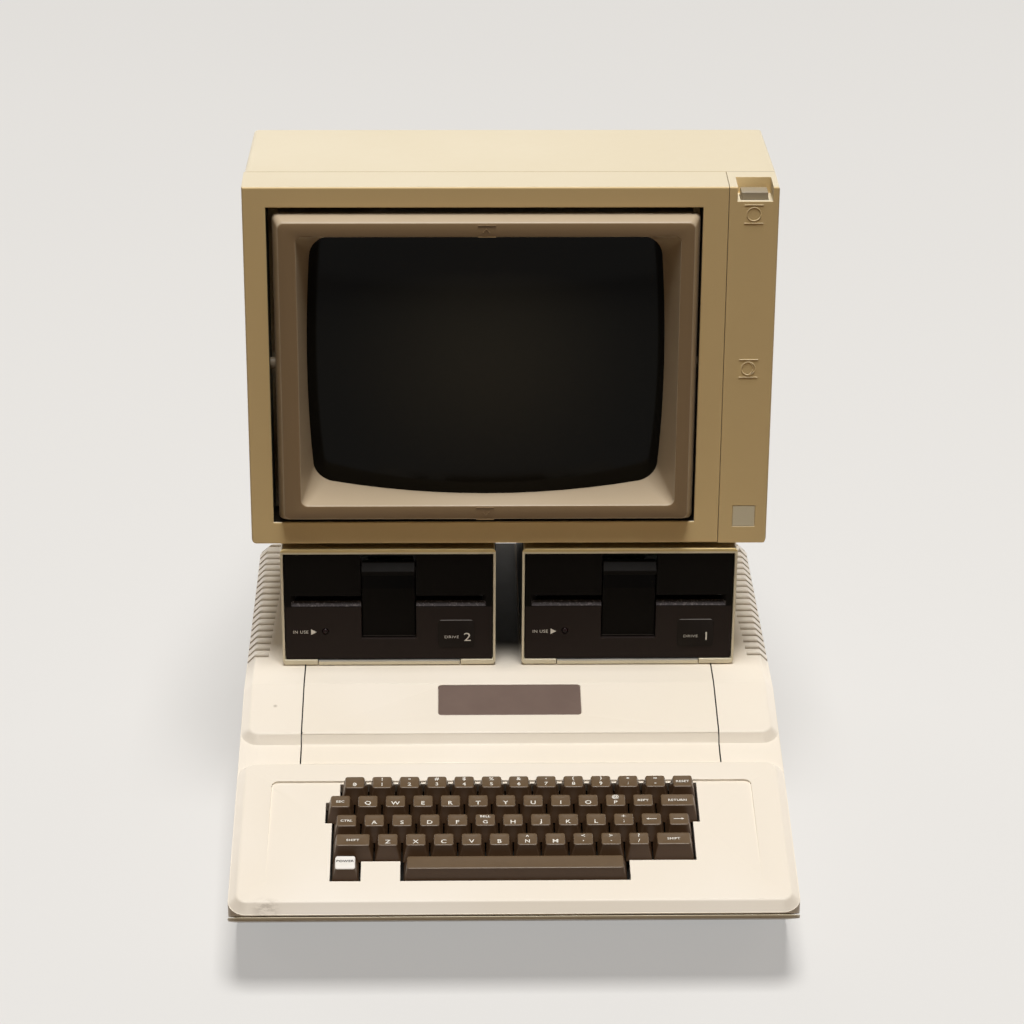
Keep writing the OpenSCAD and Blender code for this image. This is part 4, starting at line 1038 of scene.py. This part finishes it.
# The lighter centre of the glass is a painted reflection.
painted_reflection = tube_glass.near(lean @ Vector((screen_x, 0, screen_z)), 125 * mm)
tube_glass.set(
    Base_Color=tube_glass.mix(paint("#0d0c08"), paint("#2e2a20"), painted_reflection * 0.85 + smear * 0.12),
    Roughness=0.08 + 0.06 * smear,
)
dress("picture_tube", tube_glass)
copper = bare_metal("coil_copper", "#8c4a2a", roughness=0.45, grain=(1, 0.1, 1))
dress("deflection_yoke", copper)


# ---- Floor, light and camera ----
# A soft lamp hangs above the front, and two weak ones light the back. The floor and the room look
# pale, but shine warm on the machine.
def seen(board):
    """1 where a surface is looked at, straight or in a reflection; 0 where it lights the machine."""
    camera_ray = board.node("LightPath", output="Is Camera Ray")
    glossy_ray = board.node("LightPath", output="Is Glossy Ray")
    return camera_ray + glossy_ray + board.node("LightPath", output="Is Transmission Ray")


floor_half = 12.0
warm_bounce = (0.14, 0.085, 0.035, 1)
floor_paper = Finish("floor_paper", paint("#e6e4e0"), 0.9, specular=0.0)
floor_tone = floor_paper.mix(paint("#e6e4e0"), paint("#e0deda"), floor_paper.noise(0.5, 1.0))
floor_seen = seen(floor_paper)
floor_paper.set(Base_Color=floor_paper.mix(warm_bounce, floor_tone, floor_seen))
floor_glow = floor_paper.node("Emission", {}, {"Color": paint("#e9e7e4"), "Strength": 1.0})
floor_lit = Value(floor_paper, floor_paper.shader.outputs["BSDF"])
floor_mixed = floor_paper.node("MixShader", {}, {0: floor_seen * 0.5, 1: floor_lit, 2: floor_glow})
floor_output = floor_paper.tree.nodes["Material Output"]
floor_paper.tree.links.new(floor_mixed.socket, floor_output.inputs["Surface"])
form = bmesh.new()
corners = ((-1, -1), (1, -1), (1, 1), (-1, 1))
form.faces.new([form.verts.new((x * floor_half, y * floor_half, 0)) for x, y in corners])
floor = bpy.data.objects.new("floor", finished("floor", form))
floor.data.materials.append(floor_paper.material)
bpy.context.scene.collection.objects.link(floor)
room_bounce = (0.045, 0.03, 0.016, 1)
world = bpy.data.worlds.new("studio")
bpy.context.scene.world = world
world.use_nodes = True
room = Board(world.node_tree)
sky = world.node_tree.nodes["Background"]
room_seen = seen(room)
room_tone = room.mix(room_bounce, paint("#eeece8"), room_seen)
world.node_tree.links.new(room_tone.socket, sky.inputs["Color"])


def softbox(name, place, aim, size, power):
    """A square-cornered lamp behind a white cloth, with its width and height in metres."""
    light = bpy.data.lights.new(name, "AREA")
    light.shape = "RECTANGLE"
    light.size, light.size_y = size
    light.energy, light.color = power, (1.0, 0.995, 0.99)
    lamp = bpy.data.objects.new(name, light)
    lamp.location = place
    lamp.visible_camera = False
    lamp.rotation_mode = "QUATERNION"
    lamp.rotation_quaternion = (Vector(aim) - Vector(place)).to_track_quat("-Z", "Y")
    bpy.context.scene.collection.objects.link(lamp)


softbox("overhead", (0.2, -1.2, 8.0), (0.2, -1.2, 0), (2.6, 3.0), 675)
for name, aside in (("left_rear_fill", -4.5), ("right_rear_fill", 4.5)):
    softbox(name, (aside, 4.5, 0.9), (0, 0, 0.25), (3.0, 1.4), 85)
camera_data = bpy.data.cameras.new("camera")
camera_data.sensor_width = 36
camera_data.lens = 107.2
camera = bpy.data.objects.new("camera", camera_data)
bpy.context.scene.collection.objects.link(camera)
camera.location = (-42.8 * mm, nose - 1718.3 * mm, 1200.2 * mm)
pitch_down, yaw, roll = math.radians(26.0), math.radians(1.3), math.radians(0.4)
camera.rotation_mode = "QUATERNION"
turn = Matrix.Rotation(-yaw, 4, "Z") @ Matrix.Rotation(math.pi / 2 - pitch_down, 4, "X")
turn = turn @ Matrix.Rotation(roll, 4, "Z")
camera.rotation_quaternion = turn.to_quaternion()
bpy.context.scene.camera = camera
bpy.context.scene.view_settings.view_transform = "Standard"
